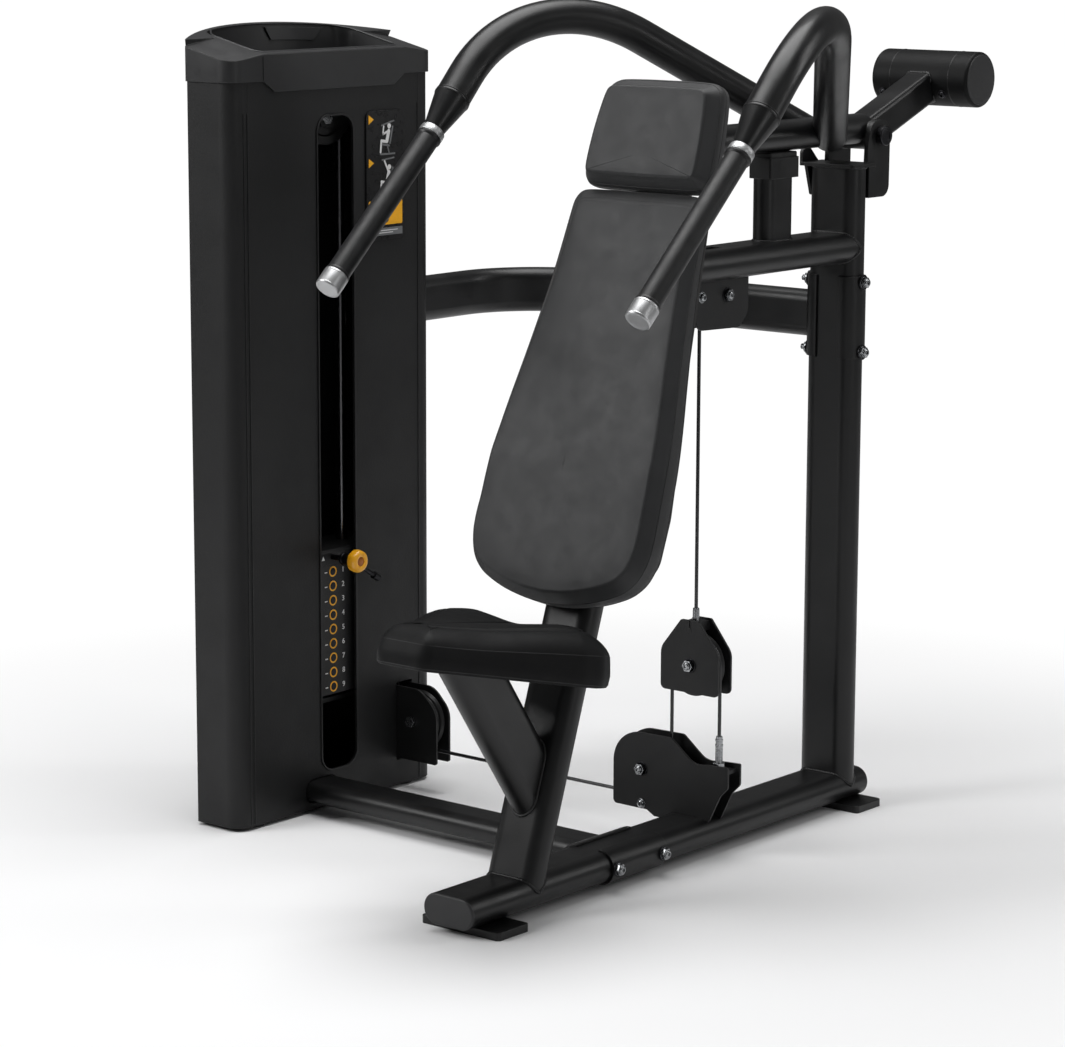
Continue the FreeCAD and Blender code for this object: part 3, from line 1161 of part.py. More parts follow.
# collars, rings, grips, end caps along each grip line
cones, rings, grips, caps = [], [], [], []
CONE_L = 68.0
dk = V(0, C3.y - K.y, C3.z - K.z)
dk.normalize()
E0 = V(304.0, C3.y, C3.z) + dk * (CONE_L + 0.1)
G1 = V(304.0, yy(90.0), 984.6)
gd = G1 - E0
gd.normalize()
G0 = E0 + gd * 10.0
for sg in (1, -1):
    c3 = V(sg * 304.0, C3.y, C3.z)
    g0 = V(sg * 304.0, G0.y, G0.z)
    g1 = V(sg * 304.0, G1.y, G1.z)
    d = g1 - g0
    gl = d.Length
    d.normalize()
    dc = dk
    k = "a" if sg > 0 else "b"
    co = doc.addObject("Part::Cone", "cone_" + k)
    ringl = 10.0
    co.Radius1 = P["arm_dia"] / 2 + 0.8
    co.Radius2 = P["grip_dia"] / 2 - 2.5
    co.setExpression("Radius1", ex("=arm_dia/2+0.8"))
    co.setExpression("Radius2", ex("=grip_dia/2-2.5"))
    conl = CONE_L
    co.Height = conl
    co.Placement = place(tuple(c3 + dc * 0.06), (1, 0, 0), tuple(dc))
    cones.append(co)
    ri = cyl("ring_" + k, tuple(g0 - d * (ringl + 1.5)), tuple(d), "=grip_dia/2+1.6", ringl + 1.4)
    rcut = doc.addObject("Part::Cut", "ringcut_" + k)
    cc2 = doc.addObject("Part::Cone", "cone_way_" + k)
    cc2.Radius1 = P["arm_dia"] / 2 + 0.8
    cc2.Radius2 = P["grip_dia"] / 2 - 2.5
    cc2.Height = conl
    cc2.Placement = co.Placement
    rcut.Base = ri
    rcut.Tool = cc2
    rings.append(rcut)
    gr = new_body("grip_" + k, place(tuple(g0), (1, 0, 0), tuple(d)))
    s = sketch(gr)
    circ(s, "grip_dia", 0, 0, "o")
    n = s.addGeometry(Part.Circle(V(0, 0, 0), V(0, 0, 1), 12.7), False)
    con(s, "Diameter", n, 25.4)
    f = pad(gr, s, "grip_len")
    grips.append(gr)
    ec = cyl("cap_" + k, tuple(g0 + d * (P["grip_len"] + 0.2)), tuple(d), "=grip_dia/2+1", 30.0)
    fl = doc.addObject("Part::Fillet", "capf_" + k)
    fl.Base = ec
    doc.recompute()
    ids = [(j + 1, 3.0, 3.0) for j, e in enumerate(ec.Shape.Edges) if e.Length > 60 and (e.CenterOfMass - V(*tuple(g0 + d * (P["grip_len"] + 30.2)))).Length < 2]
    fl.Edges = ids
    caps.append(fl)
keep(group("grip_collars", cones))
keep(group("grip_rings", rings))
keep(group("grips", grips))
keep(group("grip_end_caps", caps))

# counterweight on a rectangular tube behind the pivot
ct = new_body("counterweight_tube", place(tuple(V(0, py, pz)), X, tuple(cwd)))
s = sketch(ct)
outline(s, [(-25, -27), (25, -27), (25, 27), (-25, 27)], 8.0)
outline(s, [(-22, -24), (22, -24), (22, 24), (-22, 24)], 5.0)
f = pad(ct, s, cwl)
hub_s2 = cyl("hub_space_b", (-60, py, pz), X, "=hub_dia/2", 120)
cw_s = cyl("cw_space", (-120, CW.y, CW.z), X, 48.0, 240)
spk = oval_tube("spine_space_cw", (0, spine_y0, sz), (-1, 0, 0), Y, "=pivot_y-596", "=oval_thick+10", "oval_thick", solid=True)
keep(cut("counterweight_tube", ct, [hub_s2, cw_s, spk]))
cwb = new_body("counterweight", place((-98.0, CW.y, CW.z), Y, X))
s = sketch(cwb)
n = s.addGeometry(Part.Circle(V(0, 0, 0), V(0, 0, 1), 48.0), False)
con(s, "Diameter", n, 96.0)
f = pad(cwb, s, 196.0)
g = fillet(cwb, f, lambda e: abs(e.BoundBox.ZLength) < 1e-6, 6.0)
keep(cwb)

# ---------------------------------------------------------------- cables, taut over their pulleys
cr = P["cable_dia"] / 2


def sweep(edges, first_pt, first_dir):
    w = Part.Wire(edges)
    c = Part.Wire([Part.Circle(first_pt, first_dir, cr).toShape()])
    sh = w.makePipeShell([c], True, False)
    return sh


def arc3(c, a, b, m):
    return Part.Arc(a, m, b).toShape()


gy = GUIDE[1] - pr49
keep(cyl("arm_cable_upper", (0, gy, GUIDE[2]), Z, "=cable_dia/2", (sz - 45) - GUIDE[2]))
keep(cyl("arm_cable_lower", (0, gy, FLOAT[2] + 73), Z, "=cable_dia/2", GUIDE[2] - (FLOAT[2] + 73)))
legA = cyl("leg_a", (-pr49, cpy, LOWER[2]), Z, "=cable_dia/2", FLOAT[2] - LOWER[2])
legB = cyl("leg_b", (pr49, cpy, STUD_Z + P["stud_len"] + 16.0), Z, "=cable_dia/2", FLOAT[2] - (STUD_Z + P["stud_len"] + 16.0))
keep(group("block_cable_legs", [legA, legB]))
wrap = sweep([Part.Arc(V(-pr49, cpy, FLOAT[2]), V(0, cpy, FLOAT[2] + pr49), V(pr49, cpy, FLOAT[2])).toShape()], V(-pr49, cpy, FLOAT[2]), V(0, 0, 1))
keep(feature("block_cable_wrap", wrap))
top_f, top_r = V(*TOPF), V(*TOPR)
q = math.sqrt(0.5)
e = []
pA = V(SX, SY, TZ)
pA2 = top_f + V(0, 0, ps40)
pB = top_r + V(0, 0, ps40)
pB2 = V(RX, RY, TZ)
e.append(Part.Arc(pA, top_f + (hd * -q + V(0, 0, q)) * ps40, pA2).toShape())
e.append(Part.LineSegment(pA2, pB).toShape())
e.append(Part.Arc(pB, top_r + (hd * q + V(0, 0, q)) * ps40, pB2).toShape())
bC = V(*BASEP)
lC = V(*LOWER)
pC = V(RX, RY, bC.z)
e.append(Part.LineSegment(pB2, pC).toShape())
pC2 = bC + V(0, 0, -pr49)
e.append(Part.Arc(pC, bC + V(-q, 0, -q) * pr49, pC2).toShape())
pD = lC + V(0, 0, -pr49)
e.append(Part.LineSegment(pC2, pD).toShape())
pD2 = lC + V(pr49, 0, 0)
e.append(Part.Arc(pD, lC + V(q, 0, -q) * pr49, pD2).toShape())
main = sweep(e, pA, V(0, 0, 1))
length = sum(x.Length for x in e)
print("stack cable fixed run %.1f mm, volume ratio %.4f" % (length, main.Volume / (math.pi * cr * cr * length)))
keep(feature("stack_cable", main))
drop_z0 = hz0 + 0.1 + 25.05 + 20.0
keep(cyl("stack_cable_drop", (SX, SY, drop_z0), Z, "=cable_dia/2", TZ - drop_z0))

# ---------------------------------------------------------------- checks and export
doc.recompute()
bad = [o.Name for o in doc.Objects if "Invalid" in o.State or "Error" in o.State]
if bad:
    raise RuntimeError("failed objects: %s" % bad)
labels = set()
for o in OUT:
    sh = o.Shape
    if sh.isNull() or not sh.isValid() or sh.Volume <= 0:
        raise RuntimeError("bad shape: " + o.Label)
    if o.Label in labels:
        raise RuntimeError("label used twice: " + o.Label)
    labels.add(o.Label)
os.makedirs("parts", exist_ok=True)
for o in OUT:
    o.Shape.exportStep("parts/%s.step" % o.Label)
print("%d nodes, %d solids" % (len(OUT), sum(len(o.Shape.Solids) for o in OUT)))
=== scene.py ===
import bpy, bmesh, math, json
from mathutils import Vector, Matrix
from mathutils.bvhtree import BVHTree
from mathutils.kdtree import KDTree


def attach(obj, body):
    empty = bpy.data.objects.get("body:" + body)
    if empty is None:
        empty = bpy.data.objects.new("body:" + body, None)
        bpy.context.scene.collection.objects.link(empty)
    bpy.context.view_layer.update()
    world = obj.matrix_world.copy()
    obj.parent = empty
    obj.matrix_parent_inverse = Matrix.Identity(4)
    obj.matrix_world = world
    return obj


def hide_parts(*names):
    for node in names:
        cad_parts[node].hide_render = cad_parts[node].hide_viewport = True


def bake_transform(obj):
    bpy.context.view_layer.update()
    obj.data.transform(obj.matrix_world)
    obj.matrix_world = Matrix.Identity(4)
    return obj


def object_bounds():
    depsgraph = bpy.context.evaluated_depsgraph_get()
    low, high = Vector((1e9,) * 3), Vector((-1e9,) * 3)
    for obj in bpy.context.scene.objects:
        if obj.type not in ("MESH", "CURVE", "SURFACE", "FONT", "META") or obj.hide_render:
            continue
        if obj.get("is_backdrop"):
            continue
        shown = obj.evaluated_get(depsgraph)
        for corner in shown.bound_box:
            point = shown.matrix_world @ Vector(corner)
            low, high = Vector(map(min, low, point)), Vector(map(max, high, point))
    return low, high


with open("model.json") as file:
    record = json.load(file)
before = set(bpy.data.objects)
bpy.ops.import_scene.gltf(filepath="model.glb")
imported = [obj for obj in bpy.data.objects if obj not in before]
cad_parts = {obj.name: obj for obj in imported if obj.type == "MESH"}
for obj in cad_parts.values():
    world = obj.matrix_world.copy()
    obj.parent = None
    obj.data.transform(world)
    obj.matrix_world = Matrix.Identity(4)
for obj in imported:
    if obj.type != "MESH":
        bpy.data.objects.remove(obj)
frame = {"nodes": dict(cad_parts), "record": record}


def plain(b):
    try:
        return [plain(x) for x in b]
    except TypeError:
        return float(b)


CAD_BOX = plain(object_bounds())
MM = 0.001
WORLD_DIM = 0.115
V = Vector

# ------------------------------------------------------------------ materials


class Mat:
    """Small helper around one node material."""

    def __init__(self, name):
        self.m = bpy.data.materials.new(name)
        self.m.use_nodes = True
        self.t = self.m.node_tree
        self.t.nodes.clear()
        self.out = self.n("ShaderNodeOutputMaterial")
        self.b = self.n("ShaderNodeBsdfPrincipled")
        self.l(self.b.outputs[0], self.out.inputs["Surface"])
        self.co = self.n("ShaderNodeTexCoord").outputs["Object"]

    def n(self, kind, **k):
        node = self.t.nodes.new(kind)
        for a, v in k.items():
            setattr(node, a, v)
        return node

    def l(self, a, b):
        self.t.links.new(a, b)

    def noise(self, scale, detail=2.0, rough=0.5, vec=None):
        x = self.n("ShaderNodeTexNoise")
        x.inputs["Scale"].default_value = scale
        x.inputs["Detail"].default_value = detail
        x.inputs["Roughness"].default_value = rough
        self.l(vec or self.co, x.inputs["Vector"])
        return x.outputs["Fac"]

    def voronoi(self, scale, feature="F1", vec=None):
        x = self.n("ShaderNodeTexVoronoi", feature=feature)
        x.inputs["Scale"].default_value = scale
        self.l(vec or self.co, x.inputs["Vector"])
        return x.outputs["Distance"]

    def span(self, val, a, b, c, d):
        x = self.n("ShaderNodeMapRange")
        x.inputs["From Min"].default_value = a
        x.inputs["From Max"].default_value = b
        x.inputs["To Min"].default_value = c
        x.inputs["To Max"].default_value = d
        self.l(val, x.inputs["Value"])
        return x.outputs["Result"]

    def mix(self, fac, a, b):
        x = self.n("ShaderNodeMix", data_type="RGBA")
        if isinstance(fac, float):
            x.inputs[0].default_value = fac
        else:
            self.l(fac, x.inputs[0])
        for s, v in ((6, a), (7, b)):
            if isinstance(v, (tuple, list)):
                x.inputs[s].default_value = (v[0], v[1], v[2], 1)
            else:
                self.l(v, x.inputs[s])
        return x.outputs[2]

    def math(self, op, a, b=None):
        x = self.n("ShaderNodeMath", operation=op)
        for i, v in enumerate((a, b)):
            if v is None:
                continue
            if isinstance(v, (int, float)):
                x.inputs[i].default_value = v
            else:
                self.l(v, x.inputs[i])
        return x.outputs[0]

    def bump(self, height, strength, dist, normal=None):
        x = self.n("ShaderNodeBump")
        x.inputs["Strength"].default_value = strength
        x.inputs["Distance"].default_value = dist
        self.l(height, x.inputs["Height"])
        if normal is not None:
            self.l(normal, x.inputs["Normal"])
        return x.outputs["Normal"]

    def soft_edges(self, radius):
        x = self.n("ShaderNodeBevel")
        x.samples = 4
        x.inputs["Radius"].default_value = radius
        return x.outputs["Normal"]

    def edge_mask(self, rounded, gain):
        g = self.n("ShaderNodeNewGeometry")
        d = self.n("ShaderNodeVectorMath", operation="DOT_PRODUCT")
        self.l(rounded, d.inputs[0])
        self.l(g.outputs["Normal"], d.inputs[1])
        e = self.math("SUBTRACT", 1.0, d.outputs["Value"])
        e = self.math("MULTIPLY", e, gain)
        return self.math("MINIMUM", e, 1.0)

    def set(self, **k):
        names = {"color": "Base Color", "rough": "Roughness", "metal": "Metallic", "normal": "Normal",
                 "coat": "Coat Weight", "coat_rough": "Coat Roughness", "sheen": "Sheen Weight",
                 "spec": "Specular IOR Level", "aniso": "Anisotropic", "sheen_rough": "Sheen Roughness"}
        for a, v in k.items():
            s = self.b.inputs[names[a]]
            if isinstance(v, (int, float)):
                s.default_value = v
            elif isinstance(v, (tuple, list)):
                s.default_value = (v[0], v[1], v[2], 1)
            else:
                self.l(v, s)
        return self.m


def powder(name, col, rough=0.36, grain=0.10, edge=0.0016, wear=0.35, light=None, scale=1500.0, spec=0.5):
    """Powder coat: fine orange peel, slow colour and gloss drift, slightly rubbed edges."""
    m = Mat(name)
    light = light or tuple(min(1.0, c * 2.6 + 0.01) for c in col)
    rounded = m.soft_edges(edge)
    drift = m.noise(7.0, 4.0)
    base = m.mix(m.span(drift, 0.35, 0.65, 0.0, 1.0), tuple(c * 0.86 for c in col), tuple(c * 1.14 for c in col))
    worn = m.math("MULTIPLY", m.edge_mask(rounded, 3.0), m.span(m.noise(55.0, 5.0), 0.42, 0.62, 0.0, wear))
    base = m.mix(worn, base, light)
    fleck = m.span(m.voronoi(scale * 0.8), 0.0, 0.25, 1.0, 0.0)
    base = m.mix(m.math("MULTIPLY", fleck, 0.06), base, light)
    peel = m.math("ADD", m.noise(scale, 2.0), m.math("MULTIPLY", m.noise(scale * 0.22, 2.0), 1.6))
    nrm = m.bump(peel, grain, 0.0006, rounded)
    r = m.math("ADD", m.span(m.noise(18.0, 5.0), 0.3, 0.7, rough - 0.05, rough + 0.06), m.math("MULTIPLY", worn, 0.15))
    return m.set(color=base, rough=r, normal=nrm, spec=spec)


def plastic(name, col, rough=0.45, grain=0.12, scale=900.0, edge=0.0012, wear=0.2, coat=0.0):
    m = Mat(name)
    rounded = m.soft_edges(edge)
    base = m.mix(m.span(m.noise(12.0, 4.0), 0.35, 0.65, 0.0, 1.0), tuple(c * 0.9 for c in col), tuple(min(1, c * 1.1) for c in col))
    worn = m.math("MULTIPLY", m.edge_mask(rounded, 3.0), m.span(m.noise(70.0, 4.0), 0.42, 0.6, 0.0, wear))
    base = m.mix(worn, base, tuple(min(1, c * 1.6 + 0.02) for c in col))
    nrm = m.bump(m.voronoi(scale, "SMOOTH_F1"), grain, 0.0004, rounded)
    return m.set(color=base, rough=m.span(m.noise(26.0, 5.0), 0.3, 0.7, rough - 0.06, rough + 0.07), normal=nrm, coat=coat, coat_rough=0.15)


def metal(name, col, rough=0.25, streak=(1, 1, 1), scale=300.0, grain=0.06, edge=0.0006):
    m = Mat(name)
    mp = m.n("ShaderNodeMapping")
    mp.inputs["Scale"].default_value = streak
    m.l(m.co, mp.inputs["Vector"])
    n = m.noise(scale, 3.0, 0.6, mp.outputs["Vector"])
    rounded = m.soft_edges(edge)
    base = m.mix(m.span(m.noise(40.0, 4.0), 0.3, 0.7, 0.0, 1.0), tuple(c * 0.88 for c in col), col)
    return m.set(color=base, metal=1.0, rough=m.span(n, 0.3, 0.7, rough - 0.06, rough + 0.08), normal=m.bump(n, grain, 0.0003, rounded))


def vinyl(name, col, rough=0.5, spec=0.42, sheen=0.12):
    """Upholstery vinyl: small pebbled grain with painted shade in its valleys, broad soft sheen."""
    m = Mat(name)
    w = m.n("ShaderNodeVectorMath", operation="ADD")
    warp = m.n("ShaderNodeTexNoise")
    warp.inputs["Scale"].default_value = 240.0
    m.l(m.co, warp.inputs["Vector"])
    sc = m.n("ShaderNodeVectorMath", operation="SCALE")
    sc.inputs["Scale"].default_value = 0.0012
    m.l(warp.outputs["Color"], sc.inputs[0])
    m.l(m.co, w.inputs[0])
    m.l(sc.outputs[0], w.inputs[1])
    cell = m.voronoi(760.0, "DISTANCE_TO_EDGE", w.outputs[0])
    cell2 = m.voronoi(1900.0, "F1", w.outputs[0])
    h = m.math("ADD", m.span(cell, 0.0, 0.18, 0.0, 1.0), m.math("MULTIPLY", cell2, 0.35))
    # painted shade: the colour is darkened along the grain's cell edges, the valleys between the pebbles
    crease = m.span(cell, 0.0, 0.12, 1.0, 0.0)
    base = m.mix(m.span(m.noise(9.0, 4.0), 0.35, 0.65, 0.0, 1.0), tuple(c * 0.9 for c in col), tuple(c * 1.1 for c in col))
    base = m.mix(m.math("MULTIPLY", crease, 0.35), base, tuple(c * 0.5 for c in col))
    soft = m.noise(22.0, 3.0)
    nrm = m.bump(soft, 0.10, 0.004)
    nrm = m.bump(h, 0.22, 0.0005, nrm)
    return m.set(color=base, rough=m.span(m.noise(30.0, 4.0), 0.3, 0.7, rough - 0.06, rough + 0.06), normal=nrm, spec=spec, sheen=sheen, sheen_rough=0.5)


def rubber(name, col, rough=0.55, rib=None, axis_scale=(1, 1, 1)):
    m = Mat(name)
    rounded = m.soft_edges(0.0008)
    base = m.mix(m.span(m.noise(35.0, 5.0), 0.35, 0.65, 0.0, 1.0), tuple(c * 0.85 for c in col), tuple(c * 1.25 for c in col))
    nrm = m.bump(m.noise(1100.0, 3.0), 0.15, 0.0004, rounded)
    return m.set(color=base, rough=m.span(m.noise(60.0, 4.0), 0.3, 0.7, rough - 0.07, rough + 0.07), normal=nrm, spec=0.4)


def ink(name, col, rough=0.4):
    """Printed ink: slight mottling over a smooth film."""
    m = Mat(name)
    base = m.mix(m.span(m.noise(420.0, 3.0), 0.35, 0.65, 0.0, 1.0), tuple(c * 0.93 for c in col), col)
    return m.set(color=base, rough=m.span(m.noise(90.0, 2.0), 0.3, 0.7, rough - 0.05, rough + 0.05), normal=m.bump(m.noise(900.0), 0.04, 0.0002))


M = {
    "frame_paint": powder("frame_powder_coat", (0.0042, 0.0043, 0.0046), 0.36, 0.10, spec=0.42),
    "arm_paint": powder("arm_powder_coat", (0.0042, 0.0043, 0.0046), 0.33, 0.09, spec=0.42),
    "bracket_paint": powder("bracket_powder_coat", (0.0055, 0.0056, 0.0060), 0.46, 0.13, edge=0.0009, spec=0.4),
    "end_cap_plastic": plastic("end_cap_plastic", (0.016, 0.0162, 0.0172), 0.5, 0.10, 1200.0),
    "zinc_steel": metal("zinc_plate", (0.36, 0.37, 0.38), 0.24, scale=500.0),
    "polished_steel": metal("ground_chrome", (0.20, 0.20, 0.21), 0.20, (1, 1, 0.02), 900.0, 0.03),
    "pulley_nylon": plastic("pulley_nylon", (0.007, 0.007, 0.0075), 0.38, 0.05, 500.0),
    "cable_jacket": plastic("cable_jacket", (0.012, 0.012, 0.013), 0.28, 0.10, 1600.0, 0.0004, 0.1, 0.2),
    "pad_board": plastic("painted_plywood", (0.013, 0.0125, 0.012), 0.62, 0.3, 300.0),
    "grip_rubber": rubber("grip_rubber", (0.0075, 0.0075, 0.008), 0.42),
    "satin_aluminium": metal("satin_aluminium", (0.50, 0.505, 0.51), 0.40, scale=700.0, grain=0.12),
    "tower_shell": powder("tower_powder_coat", (0.0060, 0.0061, 0.0064), 0.50, 0.20, 0.0022, 0.2, scale=1100.0, spec=0.36),
    "tower_cap_plastic": plastic("tower_cap_plastic", (0.013, 0.0132, 0.0140), 0.42, 0.22, 850.0, 0.0030, 0.1),
    "window_rubber": rubber("window_trim_rubber", (0.006, 0.006, 0.0065), 0.42),
    "placard_print": ink("placard_film", (0.006, 0.006, 0.0065), 0.3),
    "stack_iron": powder("stack_coating", (0.006, 0.006, 0.0063), 0.5, 0.3, 0.001, 0.5, scale=700.0),
    "knob_orange": plastic("knob_orange", (1.0, 0.45, 0.012), 0.3, 0.05, 700.0, 0.0012, 0.15, 0.3),
    "pin_steel": metal("black_oxide", (0.035, 0.035, 0.038), 0.34, scale=400.0),
    "stop_rubber_black": rubber("stop_rubber", (0.012, 0.012, 0.012), 0.7),
    "pad_vinyl": vinyl("pad_vinyl", (0.0150, 0.0155, 0.0165), 0.47, 0.38, 0.09),
    # seat_vinyl is a darker, less glossy copy of the pad vinyl: its darker colour is painted shade on the seat top
    "seat_vinyl": vinyl("seat_vinyl", (0.0032, 0.0033, 0.0036), 0.54, 0.16, 0.0),
}
INK_WHITE = ink("ink_white", (0.78, 0.78, 0.78))
INK_GREY = ink("ink_grey", (0.16, 0.165, 0.17))
INK_ORANGE = ink("ink_orange", (1.0, 0.48, 0.014))
INK_DARK = ink("ink_dark", (0.02, 0.02, 0.022))
SEAM = rubber("seam_thread", (0.008, 0.008, 0.0085), 0.6)
# a lighter, glossier copy of the cap plastic for the tray rim, lip pads and blank panel: the lighter colour is partly
# painted highlight on the rim and lip
CAP_RIM = plastic("cap_rim", (0.020, 0.0203, 0.0215), 0.36, 0.12, 900.0, 0.001, 0.2)

slot_of = {s["node"]: s["material_slot"] for s in frame["record"]["subparts"]}
for node, ob in frame["nodes"].items():
    ob.data.materials.clear()
    ob.data.materials.append(M[slot_of[node]])
    for p in ob.data.polygons:
        p.material_index = 0
# the counterweight gets a duller copy of the arm coat whose darker colour is painted shade on it
frame["nodes"]["counterweight"].data.materials[0] = powder("counterweight_coat_painted_shade", (0.0024, 0.0025, 0.0027), 0.52, 0.12, spec=0.16)

# ------------------------------------------------------------------ mesh helpers


def make(name, verts, faces, mat, body="frame", smooth=True, angle=38.0):
    me = bpy.data.meshes.new(name)
    me.from_pydata([tuple(v) for v in verts], [], faces)
    me.validate()
    bm = bmesh.new()
    bm.from_mesh(me)
    bmesh.ops.recalc_face_normals(bm, faces=bm.faces)
    bm.to_mesh(me)
    bm.free()
    me.materials.append(mat)
    for p in me.polygons:
        p.use_smooth = smooth
    if smooth and angle < 180:
        me.set_sharp_from_angle(angle=math.radians(angle))
    ob = bpy.data.objects.new(name, me)
    bpy.context.scene.collection.objects.link(ob)
    if body:
        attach(ob, body)
    return ob


def frame_of(axis, hint=None):
    z = V(axis).normalized()
    h = V(hint) if hint else (V((0, 0, 1)) if abs(z.z) < 0.9 else V((1, 0, 0)))
    x = (h - z * h.dot(z)).normalized()
    return x, z.cross(x), z


def lathe(name, prof, origin, axis, mat, body="frame", segs=48, lobes=None, angle=38.0):
    """Closed turned form from (radius, height) pairs."""
    x, y, z = frame_of(axis)
    o = V(origin)
    verts, faces = [], []
    for r, h in prof:
        for k in range(segs):
            a = 2 * math.pi * k / segs
            rr = r
            if lobes and r > lobes[2]:
                rr = r * (1 + lobes[1] * math.cos(lobes[0] * a))
            verts.append(o + (x * math.cos(a) + y * math.sin(a)) * rr + z * h)
    n = len(prof)
    for i in range(n - 1):
        for k in range(segs):
            k2 = (k + 1) % segs
            faces.append((i * segs + k, i * segs + k2, (i + 1) * segs + k2, (i + 1) * segs + k))
    faces.append(tuple(range(segs))[::-1])
    faces.append(tuple((n - 1) * segs + k for k in range(segs)))
    return make(name, verts, faces, mat, body, angle=angle)


def sweep(name, pts, r, mat, body="frame", segs=12, closed=False, wob=None, flat=1.0):
    """Round bar along a line of points; wob(i) scales the radius."""
    pts = [V(p) for p in pts]
    n = len(pts)
    verts, faces = [], []
    prev = None
    for i, p in enumerate(pts):
        if closed:
            d = (pts[(i + 1) % n] - pts[i - 1]).normalized()
        else:
            d = (pts[min(i + 1, n - 1)] - pts[max(i - 1, 0)]).normalized()
        if prev is None:
            u = d.cross(V((0.31, 0.2, 0.93))).normalized()
        else:
            u = (prev - d * prev.dot(d)).normalized()
        prev = u
        w = d.cross(u)
        rr = r * (wob(i) if wob else 1.0)
        for k in range(segs):
            a = 2 * math.pi * k / segs
            verts.append(p + u * math.cos(a) * rr + w * math.sin(a) * rr * flat)
    m = n if closed else n - 1
    for i in range(m):
        for k in range(segs):
            k2, j = (k + 1) % segs, (i + 1) % n
            faces.append((i * segs + k, i * segs + k2, j * segs + k2, j * segs + k))
    if not closed:
        faces.append(tuple(range(segs))[::-1])
        faces.append(tuple((n - 1) * segs + k for k in range(segs)))
    return make(name, verts, faces, mat, body, angle=50)


def resample(pts, step, closed=True):
    pts = [V(p) for p in pts]
    if closed:
        pts = pts + [pts[0]]
    seg = [(pts[i + 1] - pts[i]).length for i in range(len(pts) - 1)]
    total = sum(seg)
    n = max(4, int(round(total / step)))
    out, i, acc = [], 0, 0.0
    for k in range(n if closed else n + 1):
        t = total * k / n
        while i < len(seg) - 1 and acc + seg[i] < t:
            acc += seg[i]
            i += 1
        out.append(pts[i].lerp(pts[i + 1], (t - acc) / seg[i] if seg[i] > 1e-12 else 0))
    return out


def weld(name, pts, r=0.0028, closed=True, body="frame", mat="frame_paint"):
    """Weld bead: a low rippled fillet along a joint."""
    q = resample(pts, 0.0016, closed)
    return sweep(name, q, r, M[mat], body, 8, closed, lambda i: 1.0 + 0.13 * math.sin(i * 1.9) + 0.04 * math.sin(i * 0.37))


def fillet2(pts, rads, seg=6):
    n, out = len(pts), []
    for k in range(n):
        p, a, b = V(pts[k]), V(pts[k - 1]), V(pts[(k + 1) % n])
        r = rads[k] if isinstance(rads, (list, tuple)) else rads
        u, w = (a - p).normalized(), (b - p).normalized()
        ang = u.angle(w)
        if r <= 0 or abs(ang - math.pi) < 1e-3:
            out.append(p)
            continue
        d = r / math.tan(ang / 2)
        c = p + (u + w).normalized() * (r / math.sin(ang / 2))
        t1, t2 = p + u * d - c, p + w * d - c
        a1 = math.atan2(t1[1], t1[0])
        da = (math.atan2(t2[1], t2[0]) - a1 + math.pi) % (2 * math.pi) - math.pi
        for j in range(seg + 1):
            q = a1 + da * j / seg
            out.append(c + V((math.cos(q), math.sin(q))) * r)
    return out


def prism(name, outl, o, x, y, thick, mat, body="frame", bev=0.0006):
    """Flat plate with softened edges: outline in the x, y directions from o, thickness along x cross y."""
    o, x, y = V(o), V(x).normalized(), V(y).normalized()
    z = x.cross(y)
    n = len(outl)
    verts, faces = [], []
    cx = sum(p[0] for p in outl) / n
    cy = sum(p[1] for p in outl) / n

    def ring(h, ins):
        base = len(verts)
        for k in range(n):
            p, a, b = V((outl[k][0], outl[k][1])), V((outl[k - 1][0], outl[k - 1][1])), V((outl[(k + 1) % n][0], outl[(k + 1) % n][1]))
            t = (b - a)
            nn = V((t.y, -t.x))
            if nn.length < 1e-12:
                nn = V((0, 0))
            else:
                nn.normalize()
            q = p - nn * ins * sgn
            verts.append(o + x * q.x + y * q.y + z * h)
        return base
    area = sum(outl[k][0] * outl[(k + 1) % n][1] - outl[(k + 1) % n][0] * outl[k][1] for k in range(n))
    sgn = 1.0 if area > 0 else -1.0
    rings = [ring(0, bev), ring(bev, 0), ring(thick - bev, 0), ring(thick, bev)]
    for a, b in zip(rings, rings[1:]):
        for k in range(n):
            k2 = (k + 1) % n
            faces.append((a + k, a + k2, b + k2, b + k))
    faces.append(tuple(rings[0] + k for k in range(n))[::-1])
    faces.append(tuple(rings[3] + k for k in range(n)))
    return make(name, verts, faces, mat, body, angle=30)


def bolt(name, pos, axis, r=0.0085, h=0.0055, mat="zinc_steel", body="frame", washer=True):
    """Button head with a driven recess on a washer."""
    w = 0.0014 if washer else 0.0
    prof = []
    if washer:
        prof += [(r * 1.35, 0.0), (r * 1.35, w * 0.8), (r * 1.3, w), (r, w)]
    else:
        prof += [(r, 0.0)]
    prof += [(r, w + h * 0.30), (r * 0.94, w + h * 0.62), (r * 0.78, w + h * 0.88), (r * 0.60, w + h), (r * 0.46, w + h),
             (r * 0.43, w + h * 0.94), (r * 0.41, w + h * 0.35), (r * 0.2, w + h * 0.30)]
    return lathe(name, prof, pos, axis, M[mat], body, 30)


def arc_pts(c, r, a0, a1, x, y, n=12):
    return [V(c) + (V(x) * math.cos(a0 + (a1 - a0) * k / n) + V(y) * math.sin(a0 + (a1 - a0) * k / n)) * r for k in range(n + 1)]


def oval_loop(w, t, n=10):
    """Points round a flat oval, wide along the first axis."""
    a, r = (w - t) / 2, t / 2
    out = []
    for k in range(n + 1):
        q = -math.pi / 2 + math.pi * k / n
        out.append((a + r * math.cos(q), r * math.sin(q)))
    for k in range(n + 1):
        q = math.pi / 2 + math.pi * k / n
        out.append((-a + r * math.cos(q), r * math.sin(q)))
    return resample([V((p[0], p[1], 0)) for p in out], 0.004)


def yy(s):
    return (s - 64.0) * MM


